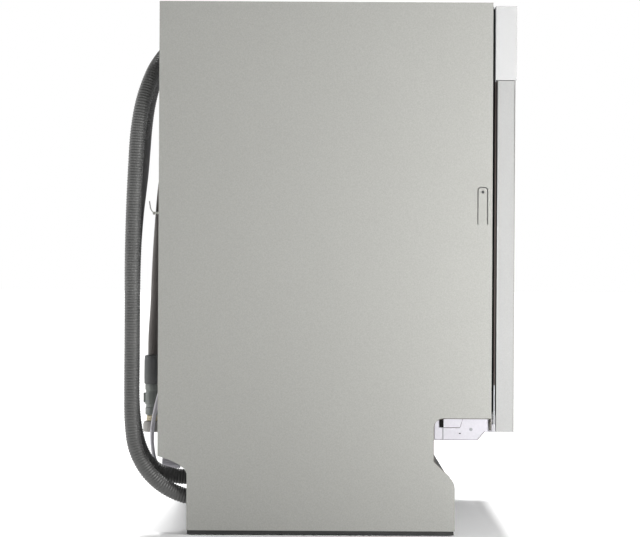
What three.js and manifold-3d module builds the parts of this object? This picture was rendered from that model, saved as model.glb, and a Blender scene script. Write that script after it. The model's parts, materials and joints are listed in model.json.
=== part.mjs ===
// A fully integrated 60 cm dishwasher: steel cabinet, tub, door, racks, base, feet and its rear hoses.
// Millimetres, +Z up, front at -Y. The origin is on the floor, at the centre of the cabinet's plan.
import * as THREE from "three";
import { mergeVertices } from "three/addons/utils/BufferGeometryUtils.js";
import Module from "manifold-3d";

const wasm = await Module();
wasm.setup();

// ---- Driving dimensions -------------------------------------------------------------------------
const HALF_WIDTH = 299; // outer face of a side panel
const HEIGHT = 820;
const SHEET = 1.2; // cabinet sheet
const TUB_SHEET = 1.5;
const GAP = 0.3; // between touching pieces

const PANEL = { front: -238, rear: 275, bottom: 6.8, footFront: -182.6, footRear: 230, flange: 14 };
const RECESS = { top: 180.6, rear: -149.5, corner: 15, slopeTop: 114, slopeBottom: 89.8, slopeFront: -174.3 };
const TAB = { holeY: -223.1, holeZ: 528.7, holeRadius: 2.25 }; // screwed to the niche's side
const PIVOT = { y: -243, z: 168 }; // door hinge axis, along X

const TUB = { half: 283, front: -234, rear: 214, floor: 184, top: 790, corner: 20 };
const GASKET = { half: 284.5, inner: 268, bottom: 222, top: 796.5, innerTop: 780, front: -241.2 };
const TRAY = { half: 296.5, front: -181, rear: 229, top: 110, frontTop: 158, wall: 3, bottom: 1 };
const REAR_PANEL = { face: 229, bottom: 111, top: 815.6 };
const LID_HEIGHT = 816; // underside of the top cover

const DOOR = { half: 297.5, bottom: 160, seam: 700, top: 815, front: -272.7, skinRear: -245.1 };
const LINER = { face: -241.5, sheet: 1.5, bulge: -225, bulgeHalf: 262, bulgeBottom: 222, bulgeTop: 774 };
const FASCIA = { front: -275, rear: -242.5, bottom: 701, wall: 2.5 };
const HINGE = { inner: 284, outer: 295.6, plate: 1.5, armInner: 288, armOuter: 291, bush: 9, pin: 4 };
const DISPENSER = { left: -130, right: 120, bottom: 430, top: 560, rear: -252, face: -225.3 };
const CUP = { left: -20, right: 50, bottom: 447, top: 543, floor: -244 };
const CAP = { x: 88, z: 495, radius: 18 };
const BUTTON = { length: 24, width: 11, flange: 2, top: 817, y: -259 };
const BUTTONS = [["power_button", -210], ["program_button", -165], ["start_button", 210]];

const WIRE = 4;
const UPPER = { half: 245, front: -205, rear: 195, floor: 510, rim: 600 };
const LOWER = { half: 255, front: -205, rear: 195, floor: 230, rim: 350 };
const RAIL = { inner: 254, outer: 266, bottom: 560, top: 576, front: -202, rear: 198, sheet: 1.5 };
const WHEEL = { radius: 17, width: 10, x: 246, z: 205, bore: 4.2, front: -128, rear: 120 };
const ARM = { y: -5, reach: 198, half: 21, lowerZ: 196, upperZ: 478, thick: 12, hub: 20 };
const FILTER = { x: 70, y: -95, radius: 36, hole: 40 };
const FEET = { pad: 20, padHeight: 8, rod: 5.2, bore: 5.5, x: 255, frontY: -150, rearY: 190 };

const DRAIN_HOSE = { radius: 12.25, sides: 12, steps: 44 };
const INLET_HOSE = { radius: 8.25, sides: 10, steps: 40 };
const MAINS_LEAD = { radius: 3.25, sides: 8, steps: 20 };
const COUPLING = { x: -190, y: 291.8, nut: 149, thread: 166, ribs: 176, sleeve: 222, top: 271 };
const VALVE = { x: -200, y: 262, z: 101, radius: 9.5, port: 8.5, portTop: 128 };
const COIL = { x: -110, y: 238, z: 330, mean: 39, band: 20, depth: 13.6 };
const PLUG = { x: -66, y: 247.5, radius: 17, pins: 219, body: 238, relief: 284, top: 301.5 };

// Centre lines of the free hoses and of the mains lead, each point [x, y, z].
const DRAIN_ROUTE = [
  [-250, 212, 83.5], [-250, 232, 83.5], [-250, 256, 86], [-250, 278, 93.5], [-250, 295, 108],
  [-250, 306, 128], [-250, 313, 152], [-250, 317, 178], [-250, 319, 210], [-250, 319, 260],
  [-250, 319, 320], [-250, 319, 370], [-249, 318.5, 412], [-239, 318, 455], [-206, 318, 498],
  [-161, 318.5, 532], [-116, 319, 567], [-85, 319, 605], [-71, 317, 645], [-72, 311, 685],
  [-91, 299, 723], [-124, 283, 751], [-170, 266, 763], [-216, 270, 750], [-252, 287, 716],
  [-269, 301, 672], [-275, 309, 625], [-278, 313, 560], [-278, 315.5, 500], [-278, 317, 430],
  [-278, 317, 360], [-278, 317, 290], [-278, 317, 220], [-278, 316, 170], [-278, 310.5, 132],
  [-278, 296.5, 102], [-278, 277, 80], [-278, 254, 65], [-278, 232, 57.2], [-278, 218, 56], [-278, 206, 56],
];
const INLET_ROUTE = [
  [-200, 262, 128.6], [-200, 261.8, 150], [-200, 256, 190], [-200, 249, 230], [-200, 248, 300],
  [-200, 248, 360], [-199, 248, 410], [-190, 248, 448], [-163, 248, 480], [-120, 248, 500],
  [-60, 248, 520], [0, 248, 541], [52, 248, 570], [80, 248, 610], [80, 248, 656], [50, 248, 692],
  [0, 248, 708], [-60, 248, 714], [-118, 248.5, 710], [-158, 251, 694], [-182, 256, 662],
  [-190, 263, 620], [-190, 270, 580], [-190, 277, 541], [-190, 281.5, 490], [-190, 285.5, 425],
  [-190, 288.5, 350], [-190, 291.5, 300], [-190, 291.8, 271.5],
];
const LEAD_ROUTE = [
  [-225, 250.4, 84], [-225, 262, 84.6], [-225, 276, 91.5], [-225, 285, 107], [-225, 289, 128],
  [-225, 289.6, 150], [-225, 288, 167], [-225, 284.7, 186], [-224, 280, 206], [-219, 274, 226],
  [-210, 269, 244], [-196, 266.5, 260], [-180, 264, 275], [-166, 259, 291], [-157, 252.5, 307],
  [-154, 249.3, 322],
];

// ---- Solids -------------------------------------------------------------------------------------
function toSolid(geometry) {
  const bare = new THREE.BufferGeometry();
  bare.setAttribute("position", geometry.getAttribute("position"));
  bare.setIndex(geometry.getIndex());
  const merged = mergeVertices(bare, 1e-3);
  const vertProperties = new Float32Array(merged.getAttribute("position").array);
  const triVerts = new Uint32Array(merged.getIndex().array);
  return new wasm.Manifold(new wasm.Mesh({ numProp: 3, vertProperties, triVerts }));
}

function toGeometry(solid) {
  const mesh = solid.getMesh();
  const geometry = new THREE.BufferGeometry();
  geometry.setAttribute("position", new THREE.BufferAttribute(mesh.vertProperties, 3));
  geometry.setIndex(new THREE.BufferAttribute(mesh.triVerts, 1));
  return geometry;
}

const join = (...pieces) => toGeometry(pieces.map(toSolid).reduce((a, b) => a.add(b)));

const cut = (base, ...tools) => toGeometry(tools.map(toSolid).reduce((a, b) => a.subtract(b), toSolid(base)));

// A box between two corners, given as low and high along each axis.
function box(x0, x1, y0, y1, z0, z1) {
  const geometry = new THREE.BoxGeometry(Math.abs(x1 - x0), Math.abs(y1 - y0), Math.abs(z1 - z0));
  return geometry.translate((x0 + x1) / 2, (y0 + y1) / 2, (z0 + z1) / 2);
}

// An outline extruded along one axis. The outline's two coordinates are the other two axes, in
// the order that keeps the frame right-handed: X takes (y, z), Y takes (z, x), Z takes (x, y).
function extrude(axis, shape, from, to, curveSegments = 4) {
  const low = Math.min(from, to);
  const depth = Math.abs(to - from);
  const geometry = new THREE.ExtrudeGeometry(shape, { depth, bevelEnabled: false, curveSegments });
  geometry.translate(0, 0, low);
  const X = new THREE.Vector3(1, 0, 0);
  const Y = new THREE.Vector3(0, 1, 0);
  const Z = new THREE.Vector3(0, 0, 1);
  const bases = { x: [Y, Z, X], y: [Z, X, Y], z: [X, Y, Z] };
  return geometry.applyMatrix4(new THREE.Matrix4().makeBasis(...bases[axis]));
}

const outline = (points) => new THREE.Shape(points.map(([a, b]) => new THREE.Vector2(a, b)));

// A cylinder along an axis, between two stations, centred on the other two coordinates.
function cylinder(axis, radius, from, to, a, b, sides = 16) {
  const geometry = new THREE.CylinderGeometry(radius, radius, Math.abs(to - from), sides);
  const middle = (from + to) / 2;
  if (axis === "x") return geometry.rotateZ(Math.PI / 2).translate(middle, a, b);
  if (axis === "y") return geometry.translate(a, middle, b);
  return geometry.rotateX(Math.PI / 2).translate(a, b, middle);
}

// A body of revolution about Z through (x, y). The profile is [radius, z] and closes on itself.
function turned(profile, x, y, sides = 16) {
  const points = profile.map(([r, z]) => new THREE.Vector2(r, z));
  return new THREE.LatheGeometry(points, sides).rotateX(Math.PI / 2).translate(x, y, 0);
}

function tube(route, { radius, sides, steps }) {
  const points = route.map(([x, y, z]) => new THREE.Vector3(x, y, z));
  const path = new THREE.CatmullRomCurve3(points, false, "centripetal");
  const section = new THREE.Shape();
  for (let side = 0; side < sides; side += 1) {
    const angle = (2 * Math.PI * side) / sides;
    const corner = [radius * Math.cos(angle), radius * Math.sin(angle)];
    if (side === 0) section.moveTo(...corner);
    else section.lineTo(...corner);
  }
  section.closePath();
  return new THREE.ExtrudeGeometry(section, { steps, extrudePath: path, bevelEnabled: false });
}

// ---- Finishes -----------------------------------------------------------------------------------
const FINISH = {
  panelSteel: [0xc2c2be, 0.42, 0.75],
  galvanised: [0xe4e3e8, 0.45, 0.7],
  stainless: [0xb8b9ba, 0.3, 0.9],
  paleFascia: [0xe8e8e6, 0.4, 0.2],
  blackPlastic: [0x1c1c1c, 0.6, 0.0],
  greyPlastic: [0x8d8f90, 0.55, 0.0],
  whitePlastic: [0xe6e6e2, 0.5, 0.0],
  gasketRubber: [0x2a2a2b, 0.75, 0.0],
  hoseGrey: [0x636462, 0.6, 0.0],
  hoseDark: [0x4a4745, 0.65, 0.0],
  rackCoat: [0xa9adb2, 0.45, 0.0],
  leadGrey: [0xa5a5a3, 0.55, 0.0],
};

function piece(name, geometry, finish) {
  const [color, roughness, metalness] = FINISH[finish];
  geometry.computeVertexNormals();
  const mesh = new THREE.Mesh(geometry, new THREE.MeshStandardMaterial({ color, roughness, metalness }));
  mesh.name = name;
  return mesh;
}

const SIDES = [["left", -1], ["right", 1]];

// ---- Cabinet ------------------------------------------------------------------------------------
function panelOutline() {
  const shape = new THREE.Shape();
  shape.moveTo(PANEL.front, HEIGHT);
  shape.lineTo(PANEL.front, RECESS.top);
  const cornerY = RECESS.rear - RECESS.corner;
  shape.lineTo(cornerY, RECESS.top);
  shape.absarc(cornerY, RECESS.top - RECESS.corner, RECESS.corner, Math.PI / 2, 0, true);
  shape.lineTo(RECESS.rear, RECESS.slopeTop);
  shape.lineTo(RECESS.slopeFront, RECESS.slopeBottom);
  shape.quadraticCurveTo(PANEL.footFront, RECESS.slopeBottom - 8, PANEL.footFront, RECESS.slopeBottom - 18);
  shape.lineTo(PANEL.footFront, PANEL.bottom);
  shape.lineTo(PANEL.footRear, PANEL.bottom);
  shape.lineTo(PANEL.footRear, 94);
  shape.bezierCurveTo(PANEL.footRear, 103, 250, 114, PANEL.rear, 120.7);
  shape.lineTo(PANEL.rear, HEIGHT);
  shape.holes.push(tabSlot(), tabHole());
  return shape;
}

// The slot that frees the bendable fixing tab: an upside-down U, open at neither end.
function tabSlot() {
  const [front, rear, foot, top, width, chamfer] = [-231.3, -215, 479, 536.6, 1.5, 3.4];
  return outline([
    [front, foot], [front, top - chamfer], [front + chamfer, top], [rear - chamfer, top],
    [rear, top - chamfer], [rear, foot], [rear - width, foot], [rear - width, top - chamfer - 0.6],
    [rear - chamfer - 0.6, top - width], [front + chamfer + 0.6, top - width],
    [front + width, top - chamfer - 0.6], [front + width, foot],
  ]);
}

const tabHole = () => new THREE.Path().absarc(TAB.holeY, TAB.holeZ, TAB.holeRadius, 0, 2 * Math.PI, false);

function sidePanel(side) {
  const outer = side * HALF_WIDTH;
  const inner = side * (HALF_WIDTH - SHEET);
  const fold = side * (HALF_WIDTH - PANEL.flange);
  return join(
    extrude("x", panelOutline(), outer, inner),
    box(outer, fold, PANEL.rear - SHEET, PANEL.rear, 130, LID_HEIGHT - GAP),
    box(outer, fold, PANEL.front, PANEL.front + SHEET, 190, LID_HEIGHT - GAP),
  );
}

function topCover() {
  const half = HALF_WIDTH - SHEET - GAP;
  return cut(
    box(-half, half, PANEL.front + 0.5, PANEL.rear - 0.5, LID_HEIGHT, HEIGHT - 1),
    box(-220, 220, -180, 220, LID_HEIGHT + 1.6, HEIGHT),
  );
}

function frontCrossbar() {
  const [front, rear, bottom, top, wall] = [-240.5, -214, 797, LID_HEIGHT - GAP, 2];
  const half = TUB.half + 0.6;
  const channel = outline([
    [front, bottom], [front, top], [rear, top], [rear, bottom], [rear - wall, bottom],
    [rear - wall, top - wall], [front + wall, top - wall], [front + wall, bottom],
  ]);
  return cut(extrude("x", channel, -half, half), box(-22, 22, front - 1, front + wall + 1, 800, 812));
}

function rearPanel() {
  const face = REAR_PANEL.face;
  const half = HALF_WIDTH - SHEET - 1;
  const ribs = [60, 180].map((x) => box(x - 25, x + 25, face - SHEET, face + 2, 420, 760));
  const sheet = box(-half, half, face - SHEET, face, REAR_PANEL.bottom, REAR_PANEL.top);
  const hook = box(COIL.x - 6, COIL.x + 6, face - 0.5, COIL.y + 10, COIL.z + 23, COIL.z + 27.5);
  return join(sheet, hook, ...ribs);
}

function hoseClip() {
  const face = REAR_PANEL.face + GAP;
  const cradle = outline([
    [face, 735], [face, 780], [face + 2, 780], [face + 2, 748], [PANEL.rear, 748],
    [PANEL.rear, 745], [face + 2, 745], [face + 2, 735],
  ]);
  return extrude("x", cradle, -182, -158);
}

function baseTray() {
  const { half, front, rear, top, frontTop, wall, bottom } = TRAY;
  const bulkhead = RECESS.rear + 1.5;
  const outside = outline([
    [front, bottom], [front, 72], [front + 8, 88], [bulkhead, 113], [bulkhead, frontTop],
    [bulkhead + wall, frontTop], [bulkhead + wall, top], [rear, top], [rear, bottom],
  ]);
  const inside = outline([
    [front + wall, bottom + wall], [front + wall, 71], [front + 10, 85], [bulkhead + 1, 108],
    [bulkhead + wall, top + 1], [rear - wall, top + 1], [rear - wall, bottom + wall],
  ]);
  const shell = cut(extrude("x", outside, -half, half), extrude("x", inside, -half + wall, half - wall));
  const skirt = box(-HALF_WIDTH, HALF_WIDTH, front, rear, bottom, PANEL.bottom - GAP);
  const sockets = [-FEET.x, FEET.x].map((x) => box(x - 20, x + 20, front + 1, -128, 12, 74));
  const rearSocket = box(-18, 18, FEET.rearY - 18, rear - 1, 12, 74);
  const solid = join(shell, skirt, ...sockets, rearSocket);
  const footWells = [[-FEET.x, FEET.frontY], [FEET.x, FEET.frontY], [0, FEET.rearY]].flatMap(([x, y]) => [
    cylinder("z", FEET.pad + 1.5, bottom - 1, 12, x, y),
    cylinder("z", FEET.bore, 10, 76, x, y, 12),
  ]);
  return cut(
    solid,
    ...footWells,
    box(-292, -236, rear - wall - 1, rear + 1, 44, 104),
    cylinder("y", 5, front - 1, FEET.rearY - 8, 0, 30, 12),
  );
}

function hingeBracket(side) {
  const outerPlate = outline([
    [-151, 147], [-216.5, 147], [-228, 160], [-232.5, 160], [-232.5, 182], [-225, 236], [-151, 236],
  ]);
  const innerPlate = new THREE.Shape();
  innerPlate.moveTo(-151, 147);
  innerPlate.lineTo(-216.5, 147);
  innerPlate.lineTo(-228, PIVOT.z - HINGE.bush);
  innerPlate.absarc(PIVOT.y, PIVOT.z, HINGE.bush, -Math.PI / 2, Math.PI / 2, true);
  innerPlate.lineTo(-228, PIVOT.z + HINGE.bush + 2);
  innerPlate.lineTo(-218, 236);
  innerPlate.lineTo(-151, 236);
  const inner = extrude("x", innerPlate, side * HINGE.inner, side * (HINGE.inner + HINGE.plate));
  const outer = extrude("x", outerPlate, side * HINGE.outer, side * (HINGE.outer + HINGE.plate));
  const web = box(side * HINGE.inner, side * (HINGE.outer + HINGE.plate), -216, -151, 147, 148.5);
  const back = box(side * HINGE.inner, side * (HINGE.outer + HINGE.plate), -152.5, -151, 147, 236);
  const bore = cylinder("x", HINGE.pin + GAP, 280, 290, PIVOT.y, PIVOT.z).scale(side, 1, 1);
  return cut(join(inner, outer, web, back), side > 0 ? bore : flipped(bore));
}

// A mirrored geometry has its faces inside out, so its triangles are turned over.
function flipped(geometry) {
  const index = geometry.getIndex();
  for (let i = 0; i < index.count; i += 3) {
    const first = index.getX(i);
    index.setX(i, index.getX(i + 1));
    index.setX(i + 1, first);
  }
  return geometry;
}

// ---- Tub ----------------------------------------------------------------------------------------
// An upside-down U band in the plane across the machine, with rounded top corners, as (z, x) pairs.
function archOutline(outer, inner, bottom, outerTop, innerTop, outerRadius) {
  const thickness = outer - inner;
  const innerRadius = Math.max(outerRadius - thickness, 4);
  const shape = new THREE.Shape();
  shape.moveTo(bottom, outer);
  shape.lineTo(outerTop - outerRadius, outer);
  shape.absarc(outerTop - outerRadius, outer - outerRadius, outerRadius, Math.PI / 2, 0, true);
  shape.lineTo(outerTop, -outer + outerRadius);
  shape.absarc(outerTop - outerRadius, -outer + outerRadius, outerRadius, 0, -Math.PI / 2, true);
  shape.lineTo(bottom, -outer);
  shape.lineTo(bottom, -inner);
  shape.lineTo(innerTop - innerRadius, -inner);
  shape.absarc(innerTop - innerRadius, -inner + innerRadius, innerRadius, -Math.PI / 2, 0, false);
  shape.lineTo(innerTop, inner - innerRadius);
  shape.absarc(innerTop - innerRadius, inner - innerRadius, innerRadius, 0, Math.PI / 2, false);
  shape.lineTo(bottom, inner);
  return shape;
}

function tubWrap() {
  const { half, front, rear, floor, top, corner } = TUB;
  const bottom = floor + TUB_SHEET + 2 * GAP;
  const band = archOutline(half, half - TUB_SHEET, bottom, top, top - TUB_SHEET, corner);
  return extrude("y", band, front, rear);
}

function tubGasket() {
  const { half, inner, bottom, top, innerTop, front } = GASKET;
  return extrude("y", archOutline(half, inner, bottom, top, innerTop, 22), front, TUB.front - GAP);
}

function tubFloor() {
  const top = TUB.floor + TUB_SHEET;
  const plate = box(-TUB.half, TUB.half, -239, TUB.rear + 1.8, TUB.floor, top);
  const pedestal = cylinder("z", 12, TUB.floor, ARM.lowerZ - GAP, 0, ARM.y);
  const opening = cylinder("z", FILTER.hole, TUB.floor - 1, top + 1, FILTER.x, FILTER.y);
  return cut(join(plate, pedestal), opening);
}

function tubRearWall() {
  const bottom = TUB.floor + TUB_SHEET + 2 * GAP;
  return box(-TUB.half, TUB.half, TUB.rear + GAP, TUB.rear + GAP + TUB_SHEET, bottom, TUB.top);
}

function sprayFeedPipe() {
  const riser = box(-18, 18, 203, 213.7, 187, 520);
  return join(riser, cylinder("y", 9, 197.5, 204, 0, 500, 12));
}

// ---- Works under the tub ------------------------------------------------------------------------
function sump() {
  const top = TUB.floor - GAP;
  const bowl = turned([[0, 92], [48, 92], [48, top], [44, top], [44, 96], [0, 96]], FILTER.x, FILTER.y);
  return join(bowl, cylinder("x", 14, -3, 24, FILTER.y, 118, 12));
}

function circulationPump() {
  const volute = cylinder("x", 42, -70, -3 - GAP, FILTER.y, 118, 20);
  return join(volute, cylinder("x", 33, -150, -69, FILTER.y, 118, 16));
}

function drainPump() {
  const body = cylinder("x", 24, FILTER.x + 49, FILTER.x + 78, FILTER.y, 112, 16);
  return join(body, cylinder("x", 17, FILTER.x + 77, FILTER.x + 112, FILTER.y, 112, 12));
}

function waterSoftener() {
  const profile = outline([
    [-60, 20], [-60, 150], [-45, 168], [135, 168], [155, 150], [155, 20],
  ]);
  return extrude("x", profile, -282, -196);
}

function airBreakTank() {
  const profile = outline([
    [-110, 260], [-110, 580], [-90, 600], [120, 600], [150, 560], [150, 300], [110, 240], [-90, 240],
  ]);
  return extrude("x", profile, -296.4, -284.2);
}

function inletValve() {
  const { x, y, z, radius, port, portTop } = VALVE;
  return join(
    cylinder("y", 4, REAR_PANEL.face + GAP, 248, x, z, 10),
    cylinder("y", radius, 247, PANEL.rear, x, z, 16),
    cylinder("z", port, z + 4, portTop, x, y, 12),
  );
}

function terminalBox() {
  const face = REAR_PANEL.face + GAP;
  const relief = new THREE.CylinderGeometry(3.6, 5.5, 18.5, 10).translate(-225, 240.75, 84);
  return join(box(-234, -216, face, face + 3, 62, 98), relief);
}

function doorSpring(side) {
  return cylinder("y", 4.6, -140, 20, side * 288.4, 128, 10);
}

// ---- Feet ---------------------------------------------------------------------------------------
function foot() {
  const pad = cylinder("z", FEET.pad, 0, FEET.padHeight, 0, 0);
  return join(pad, cylinder("z", FEET.rod, FEET.padHeight - 1, 92, 0, 0, 12));
}

function rearFootRod() {
  const shaft = cylinder("y", 4, TRAY.front - 3, FEET.rearY - 9, 0, 0, 10);
  return join(shaft, cylinder("y", 7, TRAY.front - 9, TRAY.front - 2, 0, 0, 6));
}

// ---- Door ---------------------------------------------------------------------------------------
// Room at the lower corners for the fixed bracket's ears and for the hinge arms.
const hingeNotches = () => SIDES.map(([, side]) =>
  box(side * (HINGE.inner - 1.2), side * (HINGE.armOuter + 2.5), -254, -238, 150, 190));

function doorOuterPanel() {
  const { half, bottom, seam, front, skinRear } = DOOR;
  const tray = cut(
    box(-half, half, front, skinRear, bottom, seam),
    box(-half + SHEET, half - SHEET, front + SHEET, skinRear + 1, bottom + SHEET, seam + 1),
  );
  return cut(tray, ...hingeNotches());
}

function doorFascia() {
  const { front, rear, bottom, wall } = FASCIA;
  const half = DOOR.half;
  const shell = cut(
    box(-half, half, front, rear, bottom, DOOR.top),
    box(-half + wall, half - wall, front + wall, rear + 1, bottom - 1, DOOR.top - wall),
  );
  const slots = BUTTONS.map(([, x]) => box(
    x - BUTTON.length / 2 - GAP, x + BUTTON.length / 2 + GAP,
    BUTTON.y - BUTTON.width / 2 - GAP, BUTTON.y + BUTTON.width / 2 + GAP,
    DOOR.top - wall - 1, DOOR.top + 1,
  ));
  return cut(shell, ...slots);
}

function button() {
  const { length, width, flange, top } = BUTTON;
  const under = DOOR.top - FASCIA.wall - GAP;
  return join(
    box(-length / 2, length / 2, -width / 2, width / 2, under - flange, top),
    box(-length / 2 - 2, length / 2 + 2, -width / 2 - 2, width / 2 + 2, under - flange, under),
  );
}

function doorInnerLiner() {
  const { face, sheet, bulge, bulgeHalf, bulgeBottom, bulgeTop } = LINER;
  const flange = join(
    box(-DOOR.half, DOOR.half, face - sheet, face, DOOR.bottom + 2, DOOR.seam),
    box(-DOOR.half + 3, DOOR.half - 3, face - sheet, face, DOOR.seam - 1, DOOR.top - 3),
  );
  const pan = box(-bulgeHalf, bulgeHalf, face - 0.5, bulge, bulgeBottom, bulgeTop);
  const hollow = box(
    -bulgeHalf + sheet, bulgeHalf - sheet, face - sheet - 1, bulge - sheet,
    bulgeBottom + sheet, bulgeTop - sheet,
  );
  const { left, right, bottom, top } = DISPENSER;
  const dispenserHole = box(left - GAP, right + GAP, -260, -220, bottom - GAP, top + GAP);
  const latchHole = box(-17, 17, -250, -238, 801, 811);
  return cut(join(flange, pan), hollow, dispenserHole, latchHole, ...hingeNotches());
}

function hingeArm(side) {
  const arm = outline([
    [-233, 163], [-233, 179.5], [-240, 179.5], [-246, 186], [-246, 262], [-266, 262], [-266, 170],
    [-257, 163],
  ]);
  const plate = extrude("x", arm, side * HINGE.armInner, side * HINGE.armOuter);
  const pin = side > 0
    ? cylinder("x", HINGE.pin, HINGE.inner - 0.5, HINGE.armOuter + 2, PIVOT.y, PIVOT.z)
    : cylinder("x", HINGE.pin, -HINGE.armOuter - 2, -HINGE.inner + 0.5, PIVOT.y, PIVOT.z);
  return join(plate, pin);
}

function doorLatch() {
  return join(
    box(-15, 15, -266, -228, 803, 806.5),
    box(-15, 15, -231, -228, 803, 808.5),
    cylinder("x", 4, -18, 18, -262, 804.5, 10),
  );
}

function dispenser() {
  const { left, right, bottom, top, rear, face } = DISPENSER;
  const body = box(left, right, rear, face, bottom, top);
  const cup = box(CUP.left, CUP.right, CUP.floor, face + 1, CUP.bottom, CUP.top);
  const neck = cylinder("y", 11, CUP.floor, face + 1, CAP.x, CAP.z);
  return cut(body, cup, neck);
}

function dispenserLid() {
  const face = DISPENSER.face + GAP;
  const plate = box(CUP.left - 5, CUP.right + 5, face, face + 2.2, CUP.bottom - 5, CUP.top + 5);
  return join(plate, box(CUP.left + 4, CUP.left + 9, face + 2, face + 4.5, CUP.bottom + 20, CUP.top - 20));
}

function rinseAidCap() {
  const face = DISPENSER.face + GAP;
  const rim = cylinder("y", CAP.radius, face, face + 3, 0, 0, 20);
  const grip = box(-13, 13, face + 2, face + 7, -3, 3);
  return join(rim, grip, cylinder("y", 10.5, face - 12, face + 1, 0, 0, 16));
}

// ---- Racks --------------------------------------------------------------------------------------
// A flat grid of square wires across one axis. Its two spans are in extrude's order of coordinates.
function grid(axis, a0, a1, b0, b1, level, columns, rows) {
  const bar = {
    x: (a, aEnd, b, bEnd) => box(level, level + WIRE, a, aEnd, b, bEnd),
    y: (a, aEnd, b, bEnd) => box(b, bEnd, level, level + WIRE, a, aEnd),
    z: (a, aEnd, b, bEnd) => box(a, aEnd, b, bEnd, level, level + WIRE),
  }[axis];
  const wires = [];
  for (let i = 0; i <= columns; i += 1) {
    const a = a0 + ((a1 - a0 - WIRE) * i) / columns;
    wires.push(bar(a, a + WIRE, b0, b1));
  }
  for (let j = 0; j <= rows; j += 1) {
    const b = b0 + ((b1 - b0 - WIRE) * j) / rows;
    wires.push(bar(a0, a1, b, b + WIRE));
  }
  return join(...wires);
}

function basket({ half, front, rear, floor, rim }) {
  const walls = [
    grid("x", front, rear, floor, rim, -half, 4, 1),
    grid("x", front, rear, floor, rim, half - WIRE, 4, 1),
    grid("y", floor, rim, -half, half, front, 1, 4),
    grid("y", floor, rim, -half, half, rear - WIRE, 1, 4),
  ];
  return join(grid("z", -half, half, front, rear, floor, 5, 4), ...walls);
}

function upperRack() {
  const adjusters = SIDES.map(([, side]) =>
    box(side * (UPPER.half - 1), side * (RAIL.inner - GAP), -60, 60, 540, 602));
  const hub = cylinder("z", 9, ARM.upperZ + ARM.thick + GAP, UPPER.floor + 2, 0, ARM.y, 12);
  const dock = cylinder("y", 9, ARM.y, 197.2, 0, 500, 12);
  return join(basket(UPPER), ...adjusters, hub, dock);
}

function lowerRack() {
  const legs = SIDES.flatMap(([, side]) => [WHEEL.front, WHEEL.rear].flatMap((y) => [
    box(side * 234, side * 239, y - 6, y + 6, WHEEL.z - 6, LOWER.floor + WIRE),
    box(side * 234, side * (LOWER.half - 1), y - 6, y + 6, LOWER.floor, LOWER.floor + WIRE),
    cylinder("x", WHEEL.bore - GAP, side * 238, side * 252.5, y, WHEEL.z, 10),
  ]));
  return join(basket(LOWER), ...legs);
}

function rackWheel() {
  const half = WHEEL.width / 2;
  const bore = cylinder("x", WHEEL.bore, -half - 1, half + 1, 0, 0, 12);
  return cut(cylinder("x", WHEEL.radius, -half, half, 0, 0, 16), bore);
}

function rackRail(side) {
  const { inner, outer, bottom, top, front, rear, sheet } = RAIL;
  const channel = outline([
    [bottom, inner], [top, inner], [top, outer], [top - sheet, outer], [top - sheet, inner + sheet],
    [bottom + sheet, inner + sheet], [bottom + sheet, outer], [bottom, outer],
  ].map(([z, x]) => [z, side * x]));
  return extrude("y", channel, front, rear);
}

function sprayArm(z) {
  const { reach, half, thick, hub } = ARM;
  const blade = outline([
    [-reach, -half * 0.55], [-hub, -half], [hub, -half], [reach, -half * 0.55],
    [reach, half * 0.55], [hub, half], [-hub, half], [-reach, half * 0.55],
  ]);
  return join(extrude("z", blade, z, z + thick), cylinder("z", hub, z, z + thick, 0, 0));
}

function cupShelf() {
  return join(
    grid("z", 0, 86, -150, 60, -WIRE / 2, 2, 4),
    cylinder("y", 3, -158, 68, 0, 0, 8),
  );
}

function foldingTines() {
  const rod = box(-225, 120, -WIRE / 2, WIRE / 2, -WIRE / 2, WIRE / 2);
  const tines = [];
  for (let x = -215; x <= 115; x += 66) {
    tines.push(box(x - WIRE / 2, x + WIRE / 2, -WIRE / 2, WIRE / 2, 0, 85));
  }
  return join(rod, ...tines);
}

function cutleryBasket() {
  const [x0, x1, y0, y1, z0, z1, wall] = [160, 246, -195, 55, 236, 345, 2];
  const shell = cut(
    box(x0, x1, y0, y1, z0, z1),
    box(x0 + wall, x1 - wall, y0 + wall, y1 - wall, z0 + wall, z1 + 1),
  );
  return join(shell, box(x0 + 1, x1 - 1, -72, -70, z0 + 1, z1));
}

function filterCylinder() {
  const body = cylinder("z", FILTER.radius, 104, 190, 0, 0, 20);
  const bowl = cylinder("z", FILTER.radius - 4, 150, 191, 0, 0, 20);
  return join(cut(body, bowl), box(-FILTER.radius + 1, FILTER.radius - 1, -3, 3, 149, 193));
}

// ---- Hoses and mains lead -----------------------------------------------------------------------
function drainHoseEnd() {
  const { radius } = DRAIN_HOSE;
  const [x, y, z] = DRAIN_ROUTE.at(-1);
  return cut(
    cylinder("y", radius + 2, y - 46, y - GAP, x, z, 14),
    cylinder("y", radius - 3, y - 47, y - 10, x, z, 14),
  );
}

function inletCoupling() {
  const { x, y, nut, thread, ribs, sleeve, top } = COUPLING;
  return turned([
    [0, nut + 10], [9, nut + 10], [9, nut], [15.5, nut], [15.5, thread], [10, thread], [10, ribs],
    [12.4, ribs], [12.4, sleeve], [14.2, sleeve], [14.2, top], [0, top],
  ], x, y, 16);
}

function leadCoil() {
  const [inside, outside, half] = [COIL.mean - COIL.band / 2, COIL.mean + COIL.band / 2, COIL.depth / 2];
  const section = [[inside, -half], [outside, -half], [outside, half], [inside, half], [inside, -half]];
  const points = section.map(([r, y]) => new THREE.Vector2(r, y));
  return new THREE.LatheGeometry(points, 24).translate(COIL.x, COIL.y, COIL.z);
}

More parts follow.
